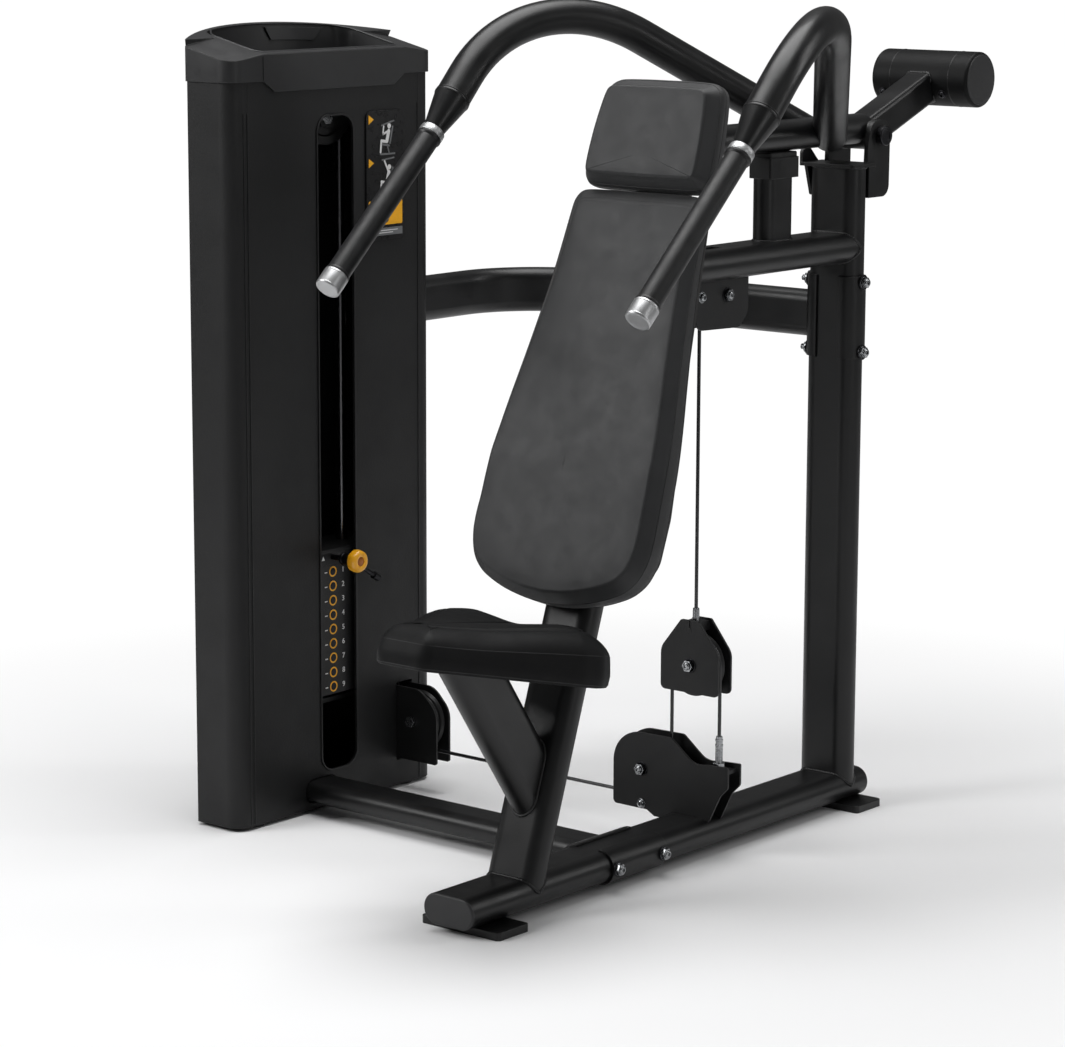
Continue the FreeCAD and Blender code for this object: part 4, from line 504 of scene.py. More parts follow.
def text(name, body_text, size, pos, x, y, mat, body="frame", depth=0.0003):
    cu = bpy.data.curves.new(name + "_c", "FONT")
    cu.body = body_text
    cu.size = size
    cu.align_x = "CENTER"
    cu.align_y = "CENTER"
    cu.extrude = depth
    tmp = bpy.data.objects.new(name + "_t", cu)
    bpy.context.scene.collection.objects.link(tmp)
    bpy.context.view_layer.update()
    me = bpy.data.meshes.new_from_object(tmp)
    bpy.data.objects.remove(tmp)
    z = V(x).cross(V(y))
    mtx = Matrix(((x[0], y[0], z[0], pos[0]), (x[1], y[1], z[1], pos[1]), (x[2], y[2], z[2], pos[2]), (0, 0, 0, 1)))
    me.transform(mtx)
    me.materials.clear()
    me.materials.append(mat)
    ob = bpy.data.objects.new(name, me)
    bpy.context.scene.collection.objects.link(ob)
    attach(ob, body)
    return ob


# ------------------------------------------------------------------ padded pieces
LEAN = math.radians(19.05)
UP = V((0, math.sin(LEAN), math.cos(LEAN)))
FW = V((0, -math.cos(LEAN), math.sin(LEAN)))
A0 = V((0, yy(172.5), 0.0825))
TILT = math.radians(11.5)
SN = V((0, math.sin(TILT), math.cos(TILT)))
ST = V((0, math.cos(TILT), -math.sin(TILT)))
S0 = V((0, yy(-108), 0.439))


def catmull(pts, sub=6):
    out = []
    n = len(pts)
    for i in range(n - 1):
        p0, p1, p2, p3 = pts[max(i - 1, 0)], pts[i], pts[i + 1], pts[min(i + 2, n - 1)]
        for k in range(sub):
            t = k / sub
            out.append(tuple(0.5 * ((2 * p1[j]) + (-p0[j] + p2[j]) * t + (2 * p0[j] - 5 * p1[j] + 4 * p2[j] - p3[j]) * t * t
                                    + (-p0[j] + 3 * p1[j] - 3 * p2[j] + p3[j]) * t ** 3) for j in (0, 1)))
    out.append(pts[-1])
    return out


def mirrored(half):
    """Right half, from bottom centre to top centre, to a full loop in metres."""
    right = catmull(half)
    left = [(-p[0], p[1]) for p in reversed(right[1:-1])]
    loop = [V((p[0] * MM, p[1] * MM, 0)) for p in right + left]
    return [(q.x, q.y) for q in resample(loop, 0.0045)]


def shape(name, loop, spine, levels, top, o, x, y, z):
    """Closed form. levels: (inset, height) pairs from the back edge up to the front crease; top(f, u, v) gives the front surface height,
    f running from 1 at the crease to 0 at the middle line."""
    n = len(loop)
    nrm = []
    for k in range(n):
        a, b = loop[k - 1], loop[(k + 1) % n]
        t = V((b[0] - a[0], b[1] - a[1]))
        t.normalize()
        nrm.append(V((t.y, -t.x)))
    verts, faces, rings = [], [], []

    def put(u, v, h):
        verts.append(o + x * u + y * v + z * h)

    def mid(u, v):
        return (0.0, min(max(v, spine[0]), spine[1]))
    inner = levels[0]
    for f in (0.06, 0.3, 0.6, 0.85):
        rings.append(len(verts))
        for k in range(n):
            u0, v0 = loop[k]
            u, v = u0 - nrm[k].x * inner[0], v0 - nrm[k].y * inner[0]
            mu, mv = mid(u, v)
            put(mu + (u - mu) * f, mv + (v - mv) * f, inner[1])
    for ins, h in levels:
        rings.append(len(verts))
        for k in range(n):
            u0, v0 = loop[k]
            hh = h(u0, v0) if callable(h) else h
            put(u0 - nrm[k].x * ins, v0 - nrm[k].y * ins, hh)
    last = levels[-1][0]
    for f in (0.985, 0.95, 0.90, 0.84, 0.77, 0.69, 0.61, 0.53, 0.45, 0.37, 0.29, 0.21, 0.13, 0.05):
        rings.append(len(verts))
        for k in range(n):
            u0, v0 = loop[k]
            u, v = u0 - nrm[k].x * last, v0 - nrm[k].y * last
            mu, mv = mid(u, v)
            uu, vv = mu + (u - mu) * f, mv + (v - mv) * f
            put(uu, vv, top(f, uu, vv))
    for a, b in zip(rings, rings[1:]):
        for k in range(n):
            k2 = (k + 1) % n
            faces.append((a + k, a + k2, b + k2, b + k))
    faces.append(tuple(rings[0] + k for k in range(n))[::-1])
    faces.append(tuple(rings[-1] + k for k in range(n)))
    return make(name, verts, faces, M["pad_vinyl"], None, angle=180)


def puff(ob, floor_o, floor_n, lo, hi, voxel=0.0058, cap=0.0045, pressure=4.0, reach=0.020):
    """A cloth copy of the cover is swollen by inner pressure; its smoothed swell is laid on the sewn form.
    The swell fades out from height hi down to height lo above the back, so the wall stays tight."""
    sc = bpy.context.scene
    cp = bpy.data.objects.new(ob.name + "_swell", ob.data.copy())
    sc.collection.objects.link(cp)
    bpy.context.view_layer.objects.active = cp
    for o in bpy.context.selected_objects:
        o.select_set(False)
    cp.select_set(True)
    rm = cp.modifiers.new("Remesh", "REMESH")
    rm.mode = "VOXEL"
    rm.voxel_size = voxel
    bpy.ops.object.modifier_apply(modifier="Remesh")
    rest = [v.co.copy() for v in cp.data.vertices]
    cl = cp.modifiers.new("Cloth", "CLOTH")
    s = cl.settings
    s.quality = 4
    s.mass = 0.25
    s.tension_stiffness = 14
    s.compression_stiffness = 14
    s.shear_stiffness = 6
    s.bending_stiffness = 0.6
    s.use_pressure = True
    s.uniform_pressure_force = pressure
    s.effector_weights.gravity = 0
    cl.collision_settings.use_collision = False
    cl.collision_settings.use_self_collision = False
    cl.point_cache.frame_start = 1
    cl.point_cache.frame_end = 20
    for f in range(1, 21):
        sc.frame_set(f)
    ev = cp.evaluated_get(bpy.context.evaluated_depsgraph_get())
    moved = [v.co.copy() for v in ev.data.vertices]
    sc.frame_set(1)
    tree = KDTree(len(rest))
    for i, q in enumerate(rest):
        tree.insert(q, i)
    tree.balance()
    fo, fn = V(floor_o), V(floor_n)
    new = []
    for v in ob.data.vertices:
        acc, wsum = V((0, 0, 0)), 0.0
        for co, i, dist in tree.find_n(v.co, 48):
            w = max(0.0, 1.0 - dist / reach) + 1e-4
            acc += (moved[i] - rest[i]) * w
            wsum += w
        d = acc / wsum
        if d.length > cap:
            d = d * (cap / d.length)
        h = (v.co - fo).dot(fn)
        t = min(max((h - lo) / (hi - lo), 0.0), 1.0)
        t = t * t * (3 - 2 * t)
        new.append(v.co + fn * (d.dot(fn) * t) + (d - fn * d.dot(fn)) * (0.35 * t))
    for v, q in zip(ob.data.vertices, new):
        v.co = q
    bpy.data.objects.remove(cp)
    for q in ob.data.polygons:
        q.use_smooth = True
    return ob


def seam_on(name, ob, pts, r=0.0011, body="frame", step=0.004, sink=0.0003):
    """Sewn seam: a thin welt laid on the cover's surface along a line."""
    me = ob.data
    tree = BVHTree.FromPolygons([v.co.copy() for v in me.vertices], [tuple(p.vertices) for p in me.polygons])
    q = []
    for p in resample(pts, step):
        loc, nn, idx, dist = tree.find_nearest(p)
        q.append(loc - nn * sink)
    n = len(q)
    for _ in range(2):
        q = [(q[i - 1] + q[i] * 2 + q[(i + 1) % n]) / 4 for i in range(n)]
    return sweep(name, q, r, SEAM, body, 8, True)


def ring_pts(loop, inset, h, o, x, y, z):
    n = len(loop)
    out = []
    for k in range(n):
        a, b = loop[k - 1], loop[(k + 1) % n]
        t = V((b[0] - a[0], b[1] - a[1]))
        t.normalize()
        u, v = loop[k][0] - t.y * inset, loop[k][1] + t.x * inset
        hh = h(u, v) if callable(h) else h
        out.append(o + x * u + y * v + z * hh)
    return out


XX = V((1, 0, 0))
swell = 0.0

back_half = [(0, 397), (40, 400), (85, 409), (120, 421), (145, 434), (165, 455), (176, 485), (179, 515), (178, 560), (175.5, 630), (168, 700),
             (152, 811), (139, 920), (131.5, 1030), (129, 1045), (122, 1056), (108, 1061.5), (60, 1063), (0, 1063)]
loop = mirrored([(max(p[0] - swell * 1000, 0), p[1]) for p in back_half])
lv = [(0.007, 0.0384), (0.002, 0.040), (0.0, 0.044), (-0.0004, 0.055), (0.0, 0.0665), (0.0003, 0.0690), (0.0016, 0.0715), (0.0050, 0.0760), (0.0100, 0.0822), (0.0145, 0.0872), (0.0160, 0.0886), (0.0172, 0.0894), (0.0190, 0.0898)]


def thin(h):
    """The foam thins out towards the top end of the back pad."""
    return lambda u, v: 0.040 + (h - 0.040) * (1.0 - 0.55 * min(max((v - 0.62) / 0.44, 0.0), 1.0))


lv = lv[:1] + [(i, thin(h)) for i, h in lv[1:]]
back = shape("back_pad_cover", loop, (0.50, 0.97), lv, lambda f, u, v: thin(0.0898 + 0.0012 * (1 - f ** 2.2))(u, v), A0, XX, UP, FW)
puff(back, A0, FW, 0.050, 0.062, cap=0.0035)
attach(back, "frame")
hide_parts("back_pad")
seam_on("back_pad_seam", back, ring_pts(loop, -0.0005, thin(0.0695), A0, XX, UP, FW))
seam_on("back_pad_crease", back, ring_pts(loop, 0.0166, thin(0.0893), A0, XX, UP, FW), 0.0006)
seam_on("back_pad_seam_rear", back, ring_pts(loop, -0.0005, 0.0430, A0, XX, UP, FW), 0.0009)

head_half = [(0, 1067), (60, 1067.5), (102, 1069), (116, 1074.5), (124, 1087), (126, 1108), (125, 1145), (121.5, 1185), (117, 1216), (111.5, 1232), (101, 1241.5), (86, 1246), (40, 1247.5), (0, 1247.5)]
loop = mirrored([(max(p[0] - swell * 1000, 0), p[1]) for p in head_half])
lv = [(0.012, 0.0310), (0.003, 0.0305), (0.0, 0.0335), (0.0, 0.0455), (0.0003, 0.0475), (0.0018, 0.0502), (0.0060, 0.0560), (0.0110, 0.0630), (0.0150, 0.0690), (0.0164, 0.0710), (0.0178, 0.0724), (0.0198, 0.0731)]


def head_top(f, u, v):
    return 0.0732 + 0.0014 * (1 - f ** 2.2)


head = shape("head_pad_cover", loop, (1.12, 1.19), lv, head_top, A0, XX, UP, FW)
puff(head, A0, FW, 0.066, 0.0730, cap=0.0030)
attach(head, "frame")
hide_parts("head_pad")
seam_on("head_pad_seam", head, ring_pts(loop, 0.0, 0.0550, A0, XX, UP, FW))
seam_on("head_pad_crease", head, ring_pts(loop, 0.0170, 0.0722, A0, XX, UP, FW), 0.0006)
seam_on("head_pad_seam_rear", head, ring_pts(loop, -0.0005, 0.0425, A0, XX, UP, FW), 0.0009)

SEAT_ROWS = [(46, -4), (61, 22), (168, 228), (177, 264), (158, 312), (60, 320)]
SEAT_RAD = [26, 46, 46, 30, 36, 60]
cw_ = 1.0 - swell / 0.17
rows = [(w * MM * cw_, v * MM) for w, v in SEAT_ROWS]
rads = [r_ * MM for r_ in SEAT_RAD]
poly = fillet2(rows + [(-w, v) for w, v in reversed(rows)], rads + rads[::-1], 8)
loop = [(q.x, q.y) for q in resample([V((q[0], q[1], 0)) for q in poly], 0.0045)]


def sstep(t):
    t = min(max(t, 0.0), 1.0)
    return t * t * (3 - 2 * t)


def wall(u, v):
    """Height where the side wall starts to roll over."""
    return 0.030 + 0.010 * sstep((v - 0.03) / 0.25)


def seat_h(u, v):
    rear = sstep((v - 0.08) / 0.20)
    cheek = 0.0075 * rear * math.exp(-((abs(u) - 0.098) / 0.052) ** 2)
    valley = -0.0035 * rear * math.exp(-(u / 0.045) ** 2)
    tail = -0.014 * sstep((v - 0.265) / 0.06)
    return 0.064 + 0.012 * sstep((v - 0.02) / 0.24) + cheek + valley + tail


def seat_lv(k, n=8):
    """Rolled shoulder between wall and top."""
    a = math.pi / 2 * k / n
    return (0.0005 + 0.046 * (1 - math.cos(a)), lambda u, v, s=math.sin(a): wall(u, v) + (seat_h(u * 0.78, v) - wall(u, v)) * s * 0.95)


lv = [(0.008, 0.0002), (0.0025, 0.0010), (0.0, 0.005), (-0.0014, 0.018), (-0.0008, 0.026)] + [seat_lv(k) for k in range(0, 9)]
seat = shape("seat_pad_cover", loop, (0.05, 0.25), lv, lambda f, u, v: seat_h(u, v) - (seat_h(u, v) - wall(u, v)) * 0.05 * f ** 3, S0, XX, ST, SN)
# the seat takes the darker vinyl copy, painted shade on the seat
seat.data.materials[0] = M["seat_vinyl"]
puff(seat, S0, SN, 0.015, 0.050, cap=0.0040)
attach(seat, "frame")
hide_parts("seat_pad")
seam_on("seat_pad_seam", seat, ring_pts(loop, 0.0030, lambda u, v: wall(u, v) + 0.010, S0, XX, ST, SN), 0.0007)
seam_on("seat_pad_seam_low", seat, ring_pts(loop, -0.0005, 0.0045, S0, XX, ST, SN), 0.0008)

# ------------------------------------------------------------------ frame details
BEAM_Z = 0.038


def beam_top(xm):
    a = abs(xm)
    return BEAM_Z + 0.025 if a <= 0.025 else BEAM_Z + math.sqrt(max(0.0, 0.025 ** 2 - (a - 0.025) ** 2))


# upright into the floor beam, back tube into the floor beam
uy = yy(1011)
weld("weld_upright_foot", [(p.x, uy + p.y, beam_top(p.x * 0.998) + 0.0003) for p in oval_loop(0.1, 0.05)])
pts = []
for p in oval_loop(0.1, 0.05):
    z = beam_top(p.x * 0.998)
    c = A0 + FW * 0 + UP * 0
    # point on the leaning tube's surface at height z
    q = A0 + V((p.x, 0, 0)) - FW * p.y
    s = (z - q.z) / UP.z
    pts.append(q + UP * s + V((0, 0, 0.0003)))
weld("weld_back_foot", pts)
# upper beam into the back tube and the upright
UZ = 0.978
pts, pts2 = [], []
for p in oval_loop(0.1, 0.05):
    xm, zz = p.x, UZ + p.y
    a = abs(xm) * 0.998
    half = 0.025 if a <= 0.025 else math.sqrt(max(0.0, 0.025 ** 2 - (a - 0.025) ** 2))
    ax = A0.y + (zz - A0.z) * math.tan(LEAN)
    pts.append((xm, ax + half / math.cos(LEAN), zz))
    pts2.append((xm, uy - half, zz))
weld("weld_upper_beam_front", pts)
weld("weld_upper_beam_rear", pts2)
# stop post on the upper beam
py = yy(820)
weld("weld_stop_post", [(p.y, py + p.x, 1.0032) for p in oval_loop(0.08, 0.04)])
# pivot plate on the upright
weld("weld_pivot_plate", [(p.x, uy + p.y, 1.1128) for p in oval_loop(0.1, 0.05)], 0.0024)
# seat strut into the back tube
SL = math.radians(35.2)
SD = V((0, math.sin(SL), -math.cos(SL)))
SP = V((0, yy(66), 0.3895))
SX_ = V((1, 0, 0)).cross(SD)
pts = []
for p in oval_loop(0.1, 0.05):
    q = SP + SX_ * p.x + V((1, 0, 0)) * p.y
    # meets the front face of the back tube: distance along FW = 25 mm
    s = (0.025 - (q - A0).dot(FW)) / SD.dot(FW)
    pts.append(q + SD * s)
weld("weld_seat_strut", pts)
# feet under the beam
for tag, fy in (("front", 0.0), ("rear", yy(1026))):
    for sx in (-1, 1):
        x0 = sx * 0.0262
        weld("weld_foot_%s_%d" % (tag, (sx + 1) // 2), [(x0, fy - 0.034, 0.0138), (x0, fy + 0.034, 0.0138)], 0.0022, False)
    for hx in (-0.0315, 0.0315):
        lathe("foot_hole_lip_%s_%d" % (tag, int(hx > 0)), [(0.0046, 0.0), (0.0062, 0.0), (0.0063, 0.0005), (0.0047, 0.0006), (0.0046, 0.0)], (hx, fy, 0.0128), (0, 0, 1), M["frame_paint"], "frame", 28)

# clamp bolts: washers and domed caps over the hexagon heads on the open side, thread ends on the tower side
cy_ = yy(411)
k = 0
for (by, bz) in ((cy_ - 0.0595, 0.038), (cy_ + 0.0595, 0.038), (uy, 0.860 - 0.0595), (uy, 0.860 + 0.0595)):
    lathe("clamp_washer_%d" % k, [(0.0128, 0.0), (0.0128, 0.0014), (0.0124, 0.0018), (0.0104, 0.0018), (0.0102, 0.0)], (0.0545, by, bz), (1, 0, 0), M["pin_steel"], "frame", 36)
    bolt("clamp_cap_%d" % k, (0.0618, by, bz), (1, 0, 0), 0.0072, 0.0040, washer=False)
    lathe("clamp_washer_in_%d" % k, [(0.0135, 0.0), (0.0135, 0.0016), (0.0131, 0.002), (0.0104, 0.002), (0.0102, 0.0)], (-0.0545, by, bz), (-1, 0, 0), M["zinc_steel"], "frame", 36)
    prof, h = [(0.0049, 0.0)], 0.0
    while h < 0.0035:
        prof += [(0.0049, h + 0.0002), (0.0043, h + 0.0007), (0.0049, h + 0.0012)]
        h += 0.0012
    prof += [(0.0040, h + 0.0006)]
    lathe("clamp_thread_%d" % k, prof, (-0.066, by, bz), (-1, 0, 0), M["zinc_steel"], "frame", 24)
    k += 1

# pulley bracket bolts: sockets on the axle heads, small cheek bolts
CPY = yy(625)
for nm, c, ax, off in (("guide", (0, yy(672), 0.926), (1, 0, 0), 0.0262), ("lower", (-0.098, CPY, 0.127), (0, -1, 0), 0.0272)):
    p = V(c) + V(ax) * off
    bolt("axle_socket_%s" % nm, p, ax, 0.0066, 0.0030, washer=False)
    lathe("axle_washer_%s" % nm, [(0.0126, 0.0), (0.0126, 0.0010), (0.0122, 0.0014), (0.0106, 0.0014), (0.0104, 0.0)], V(c) + V(ax) * 0.0190, ax, M["pin_steel"], "frame", 36)
p = V((0, CPY, 0.318))
bolt("axle_socket_block", p + V((0, -1, 0)) * 0.0272, (0, -1, 0), 0.0066, 0.0030, washer=False, body="pulley_block")
lathe("axle_washer_block", [(0.0126, 0.0), (0.0126, 0.0010), (0.0122, 0.0014), (0.0106, 0.0014), (0.0104, 0.0)], p + V((0, -1, 0)) * 0.0190, (0, -1, 0), M["pin_steel"], "pulley_block", 36)
# keyhole in the near cheek of the block: a dark disc and slit with a raised rim, painted shade in place of the opening
lathe("block_keyhole", [(0.0001, 0.0), (0.0036, 0.0), (0.0038, 0.0003), (0.0030, 0.0004), (0.0001, 0.0002)], (0, CPY - 0.0190, 0.377), (0, -1, 0), M["window_rubber"], "pulley_block", 28)
prism("block_keyslit", [(-0.0009, 0.0), (0.0009, 0.0), (0.0009, 0.0165), (-0.0009, 0.0165)], (0, CPY - 0.0190, 0.3772), (1, 0, 0), (0, 0, 1), -0.0004, M["window_rubber"], "pulley_block", bev=0.0001)
for sg in (-1, 1):
    bolt("guide_small_bolt_%d" % ((sg + 1) // 2), (sg * 0.019, yy(603), 0.928), (sg, 0, 0), 0.0070, 0.0050)
    bolt("lower_small_bolt_%d" % ((sg + 1) // 2), (-0.097, CPY + sg * 0.019, 0.0675), (0, sg, 0), 0.0065, 0.0045)
lathe("guide_spacer", [(0.0062, 0.0), (0.0062, 0.0298)], (-0.0149, yy(603), 0.928), (1, 0, 0), M["zinc_steel"], "frame", 24)

# threaded part of the anchor stud and the swaged end
prof, h = [(0.0060, 0.0)], 0.0
while h < 0.024:
    prof += [(0.0062, h + 0.0003), (0.0057, h + 0.0009), (0.0062, h + 0.0015)]
    h += 0.0015
prof += [(0.0060, h + 0.0003)]
lathe("stud_thread", prof, (0.049, CPY, 0.1586), (0, 0, 1), M["zinc_steel"], "frame", 28)
lathe("stud_ferrule", [(0.0064, 0.0), (0.0066, 0.001), (0.0066, 0.003), (0.0058, 0.0036), (0.0058, 0.0085), (0.0064, 0.009), (0.0064, 0.0118), (0.0055, 0.0128), (0.0055, 0.0160), (0.0034, 0.0175)],
      (0.049, CPY, 0.1862), (0, 0, 1), M["zinc_steel"], "frame", 32)

# ------------------------------------------------------------------ pivot and press arm details
PV = V((0, yy(1070), 1.164))
lathe("pivot_cap_right", [(0.0168, 0.0), (0.0172, 0.001), (0.0172, 0.0030), (0.0158, 0.0046), (0.0120, 0.0052), (0.0090, 0.0052), (0.0086, 0.0036), (0.0060, 0.0034)],
      PV + V((0.0521, 0, 0)), (1, 0, 0), M["pin_steel"], "frame", 40)
for sg in (-1, 1):
    lathe("hub_collar_%d" % ((sg + 1) // 2), [(0.0252, 0.0), (0.0262, 0.0012), (0.0262, 0.0050), (0.0252, 0.0062)], PV + V((sg * 0.0290 - 0.0031, 0, 0)), (1, 0, 0), M["arm_paint"], "press_arm", 48)
# weld where hub and spine meet is hidden by the ears
CW = V((0, yy(1295), 1.250))
for sg in (-1, 1):
    x0 = sg * 0.060
    lathe("counterweight_seam_%d" % ((sg + 1) // 2), [(0.0470, 0.0), (0.04815, 0.0004), (0.0484, 0.0012), (0.04815, 0.0020), (0.0470, 0.0024)], CW + V((x0 - 0.0012, 0, 0)), (1, 0, 0), M["arm_paint"], "press_arm", 96)
for i, bx in enumerate((-0.076, 0.046)):
    d = V((0, -0.82, -0.5)).normalized()
    bolt("counterweight_bolt_%d" % i, CW + V((bx, 0, 0)) + d * 0.0474, d, 0.0062, 0.0045, "pin_steel", "press_arm")
for sg in (-1, 1):
    lathe("counterweight_end_%d" % ((sg + 1) // 2), [(0.0440, -0.0002), (0.0405, 0.0006), (0.0400, 0.0004), (0.0385, 0.0003)], CW + V((sg * 0.098, 0, 0)), (sg, 0, 0), M["end_cap_plastic"], "press_arm", 96)
# weld of the counterweight tube on the hub side
cwd = (CW - PV).normalized()
side = V((1, 0, 0))
upn = side.cross(cwd)
loop4 = fillet2([(-0.025, -0.027), (0.025, -0.027), (0.025, 0.027), (-0.025, 0.027)], 0.008, 5)
pts = []
for (a, b) in [(q[0], q[1]) for q in loop4]:
    dist = math.sqrt(max(0.0, 0.048 ** 2 - b ** 2))
    pts.append(CW - cwd * dist + side * a + upn * b)
weld("weld_counterweight", pts, 0.0024, True, "press_arm", "arm_paint")

# grips: end discs and rings
K = V((0.3038, yy(550.6), 1.4424))
C3 = V((0.304, yy(362.5), 1.243))
dk = V((0, C3.y - K.y, C3.z - K.z)).normalized()
E0 = C3 + dk * 0.0681
G1 = V((0.304, yy(90.0), 0.9846))
gd = (G1 - E0).normalized()
G0 = E0 + gd * 0.010
for sg in (-1, 1):
    t = (sg + 1) // 2
    f = V((sg, 1, 1))
    g0, g1 = V((sg * G0.x, G0.y, G0.z)), V((sg * G1.x, G1.y, G1.z))
    e = g0 + gd * (0.298 + 0.0002)
    # turned end cap: grooves, chamfer and a shallow face
    lathe("grip_cap_detail_%d" % t, [(0.0203, 0.0006), (0.0206, 0.0012), (0.0206, 0.0036), (0.0201, 0.0040), (0.0201, 0.0048), (0.0206, 0.0052), (0.0206, 0.0250), (0.0203, 0.0262), (0.0203, 0.0270), (0.0206, 0.0274), (0.0204, 0.0288), (0.0190, 0.0304), (0.0160, 0.0307), (0.0155, 0.0303), (0.0050, 0.0303)],
          e, gd, M["satin_aluminium"], "press_arm", 64)
    lathe("grip_ring_detail_%d" % t, [(0.0150, -0.0004), (0.0196, -0.0002), (0.0206, 0.0008), (0.02085, 0.0024), (0.02085, 0.0078), (0.0206, 0.0092), (0.0200, 0.0100), (0.0150, 0.0102)],
          g0 - gd * 0.0101, gd, M["satin_aluminium"], "press_arm", 64)
    # moulded end of the grip by the ring
    lathe("grip_lip_%d" % t, [(0.0190, 0.0), (0.0208, 0.0006), (0.0211, 0.0030), (0.0206, 0.0052), (0.0191, 0.0072)], g0 + gd * 0.0002, gd, M["grip_rubber"], "press_arm", 56)
    lathe("grip_end_lip_%d" % t, [(0.0191, 0.0), (0.0202, 0.0018), (0.0204, 0.0048), (0.0200, 0.0056)], e - gd * 0.0058, gd, M["grip_rubber"], "press_arm", 56)
    # polished washer at the collar's narrow end
    lathe("collar_washer_%d" % t, [(0.0120, -0.0030), (0.0172, -0.0028), (0.0177, -0.0018), (0.0177, 0.0004), (0.0170, 0.0012), (0.0120, 0.0014)], V((sg * C3.x, C3.y, C3.z)) + dk * 0.0668, dk, M["satin_aluminium"], "press_arm", 56)
    lathe("collar_groove_%d" % t, [(0.0288, -0.0012), (0.0297, -0.0010), (0.0299, 0.0), (0.0297, 0.0010), (0.0288, 0.0012)], V((sg * C3.x, C3.y, C3.z)) - dk * 0.0042, dk, M["window_rubber"], "press_arm", 64)
    # rounded lip where the collar meets the arm tube
    lathe("collar_lip_%d" % t, [(0.0291, -0.0030), (0.0301, -0.0018), (0.0303, 0.0006), (0.0299, 0.0020)], V((sg * C3.x, C3.y, C3.z)), dk, M["arm_paint"], "press_arm", 64)

# rim round the cap on the front of the spine
sp_y = yy(596) - 0.004
sweep("spine_cap_rim", [(p.x, sp_y + 0.0004, 1.174 + p.y) for p in oval_loop(0.0592, 0.0492)], 0.0016, M["arm_paint"], "press_arm", 8, True)

# ------------------------------------------------------------------ cables that change length


def straight(name, a, b, node):
    a, b = V(a), V(b)
    n = 40
    ob = sweep(name, [a.lerp(b, i / n) for i in range(n + 1)], 0.003, M["cable_jacket"], None, 16)
    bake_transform(ob)
    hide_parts(node)
    return ob


GY = yy(672) - 0.049
straight("arm_cable_upper_run", (0, GY, 0.926), (0, GY, 1.129), "arm_cable_upper")
straight("arm_cable_lower_run", (0, GY, 0.926), (0, GY, 0.391), "arm_cable_lower")
straight("block_leg_left", (-0.049, CPY, 0.127), (-0.049, CPY, 0.318), "block_cable_legs")
straight("block_leg_right", (0.049, CPY, 0.203), (0.049, CPY, 0.318), "block_cable_legs")
straight("stack_drop_run", (-0.718, yy(455), 1.188), (-0.718, yy(455), 0.4718), "stack_cable_drop")
lathe("arm_cable_ferrule", [(0.0034, -0.022), (0.0052, -0.021), (0.0056, -0.018), (0.0056, -0.002), (0.0060, 0.0), (0.0060, 0.0008)], (0, GY, 1.129), (0, 0, 1), M["zinc_steel"], "press_arm", 28)
lathe("block_cable_ferrule", [(0.0060, 0.0), (0.0058, 0.002), (0.0056, 0.018), (0.0052, 0.021), (0.0034, 0.022)], (0, GY, 0.391), (0, 0, 1), M["zinc_steel"], "pulley_block", 28)

# ------------------------------------------------------------------ tower
TX = -0.645
TY = yy(455)
PF = -0.657                        # front face of the weight plates
ZF, PITCH = 0.4139, 0.0254


def disc_ring(name, c, r1, r2, mat, body, th=0.0005, segs=40):
    return lathe(name, [(r1, 0.0), (r2, 0.0), (r2, th), (r1, th), (r1, 0.0)], c, (1, 0, 0), mat, body, segs)


for i in range(9):
    z = ZF - PITCH * i
    disc_ring("stack_ring_%d" % (i + 1), (PF + 0.0001, TY, z), 0.0070, 0.0092, INK_ORANGE, "frame")
    lathe("stack_hole_%d" % (i + 1), [(0.0052, 0.0), (0.0066, 0.0), (0.0066, 0.0004), (0.0053, 0.0006)], (PF + 0.0001, TY, z), (1, 0, 0), M["pin_steel"], "frame", 28)
    text("stack_number_%d" % (i + 1), str(i + 1), 0.013, (PF + 0.0004, TY + 0.0255, z), (0, 1, 0), (0, 0, 1), INK_WHITE)
    prism("stack_dash_%d" % (i + 1), [(-0.0032, -0.0009), (0.0032, -0.0009), (0.0032, 0.0009), (-0.0032, 0.0009)], (PF + 0.0001, TY - 0.0175, z), (0, 1, 0), (0, 0, 1), 0.0004, INK_WHITE, bev=0.0001)
    # thin light line where two plates meet
    prism("stack_edge_%d" % (i + 1), [(-0.158, -0.0008), (0.158, -0.0008), (0.158, 0.0008), (-0.158, 0.0008)], (PF - 0.0006, TY, z - PITCH / 2 + 0.0002), (0, 1, 0), (0, 0, 1), 0.0003, M["pin_steel"], bev=0.0001)
prism("head_plate_mark", [(-0.004, -0.0035), (0.004, -0.0035), (0, 0.004)], (PF + 0.0001, TY - 0.024, 0.4393), (0, 1, 0), (0, 0, 1), 0.0004, INK_WHITE, "stack_carriage", bev=0.0001)

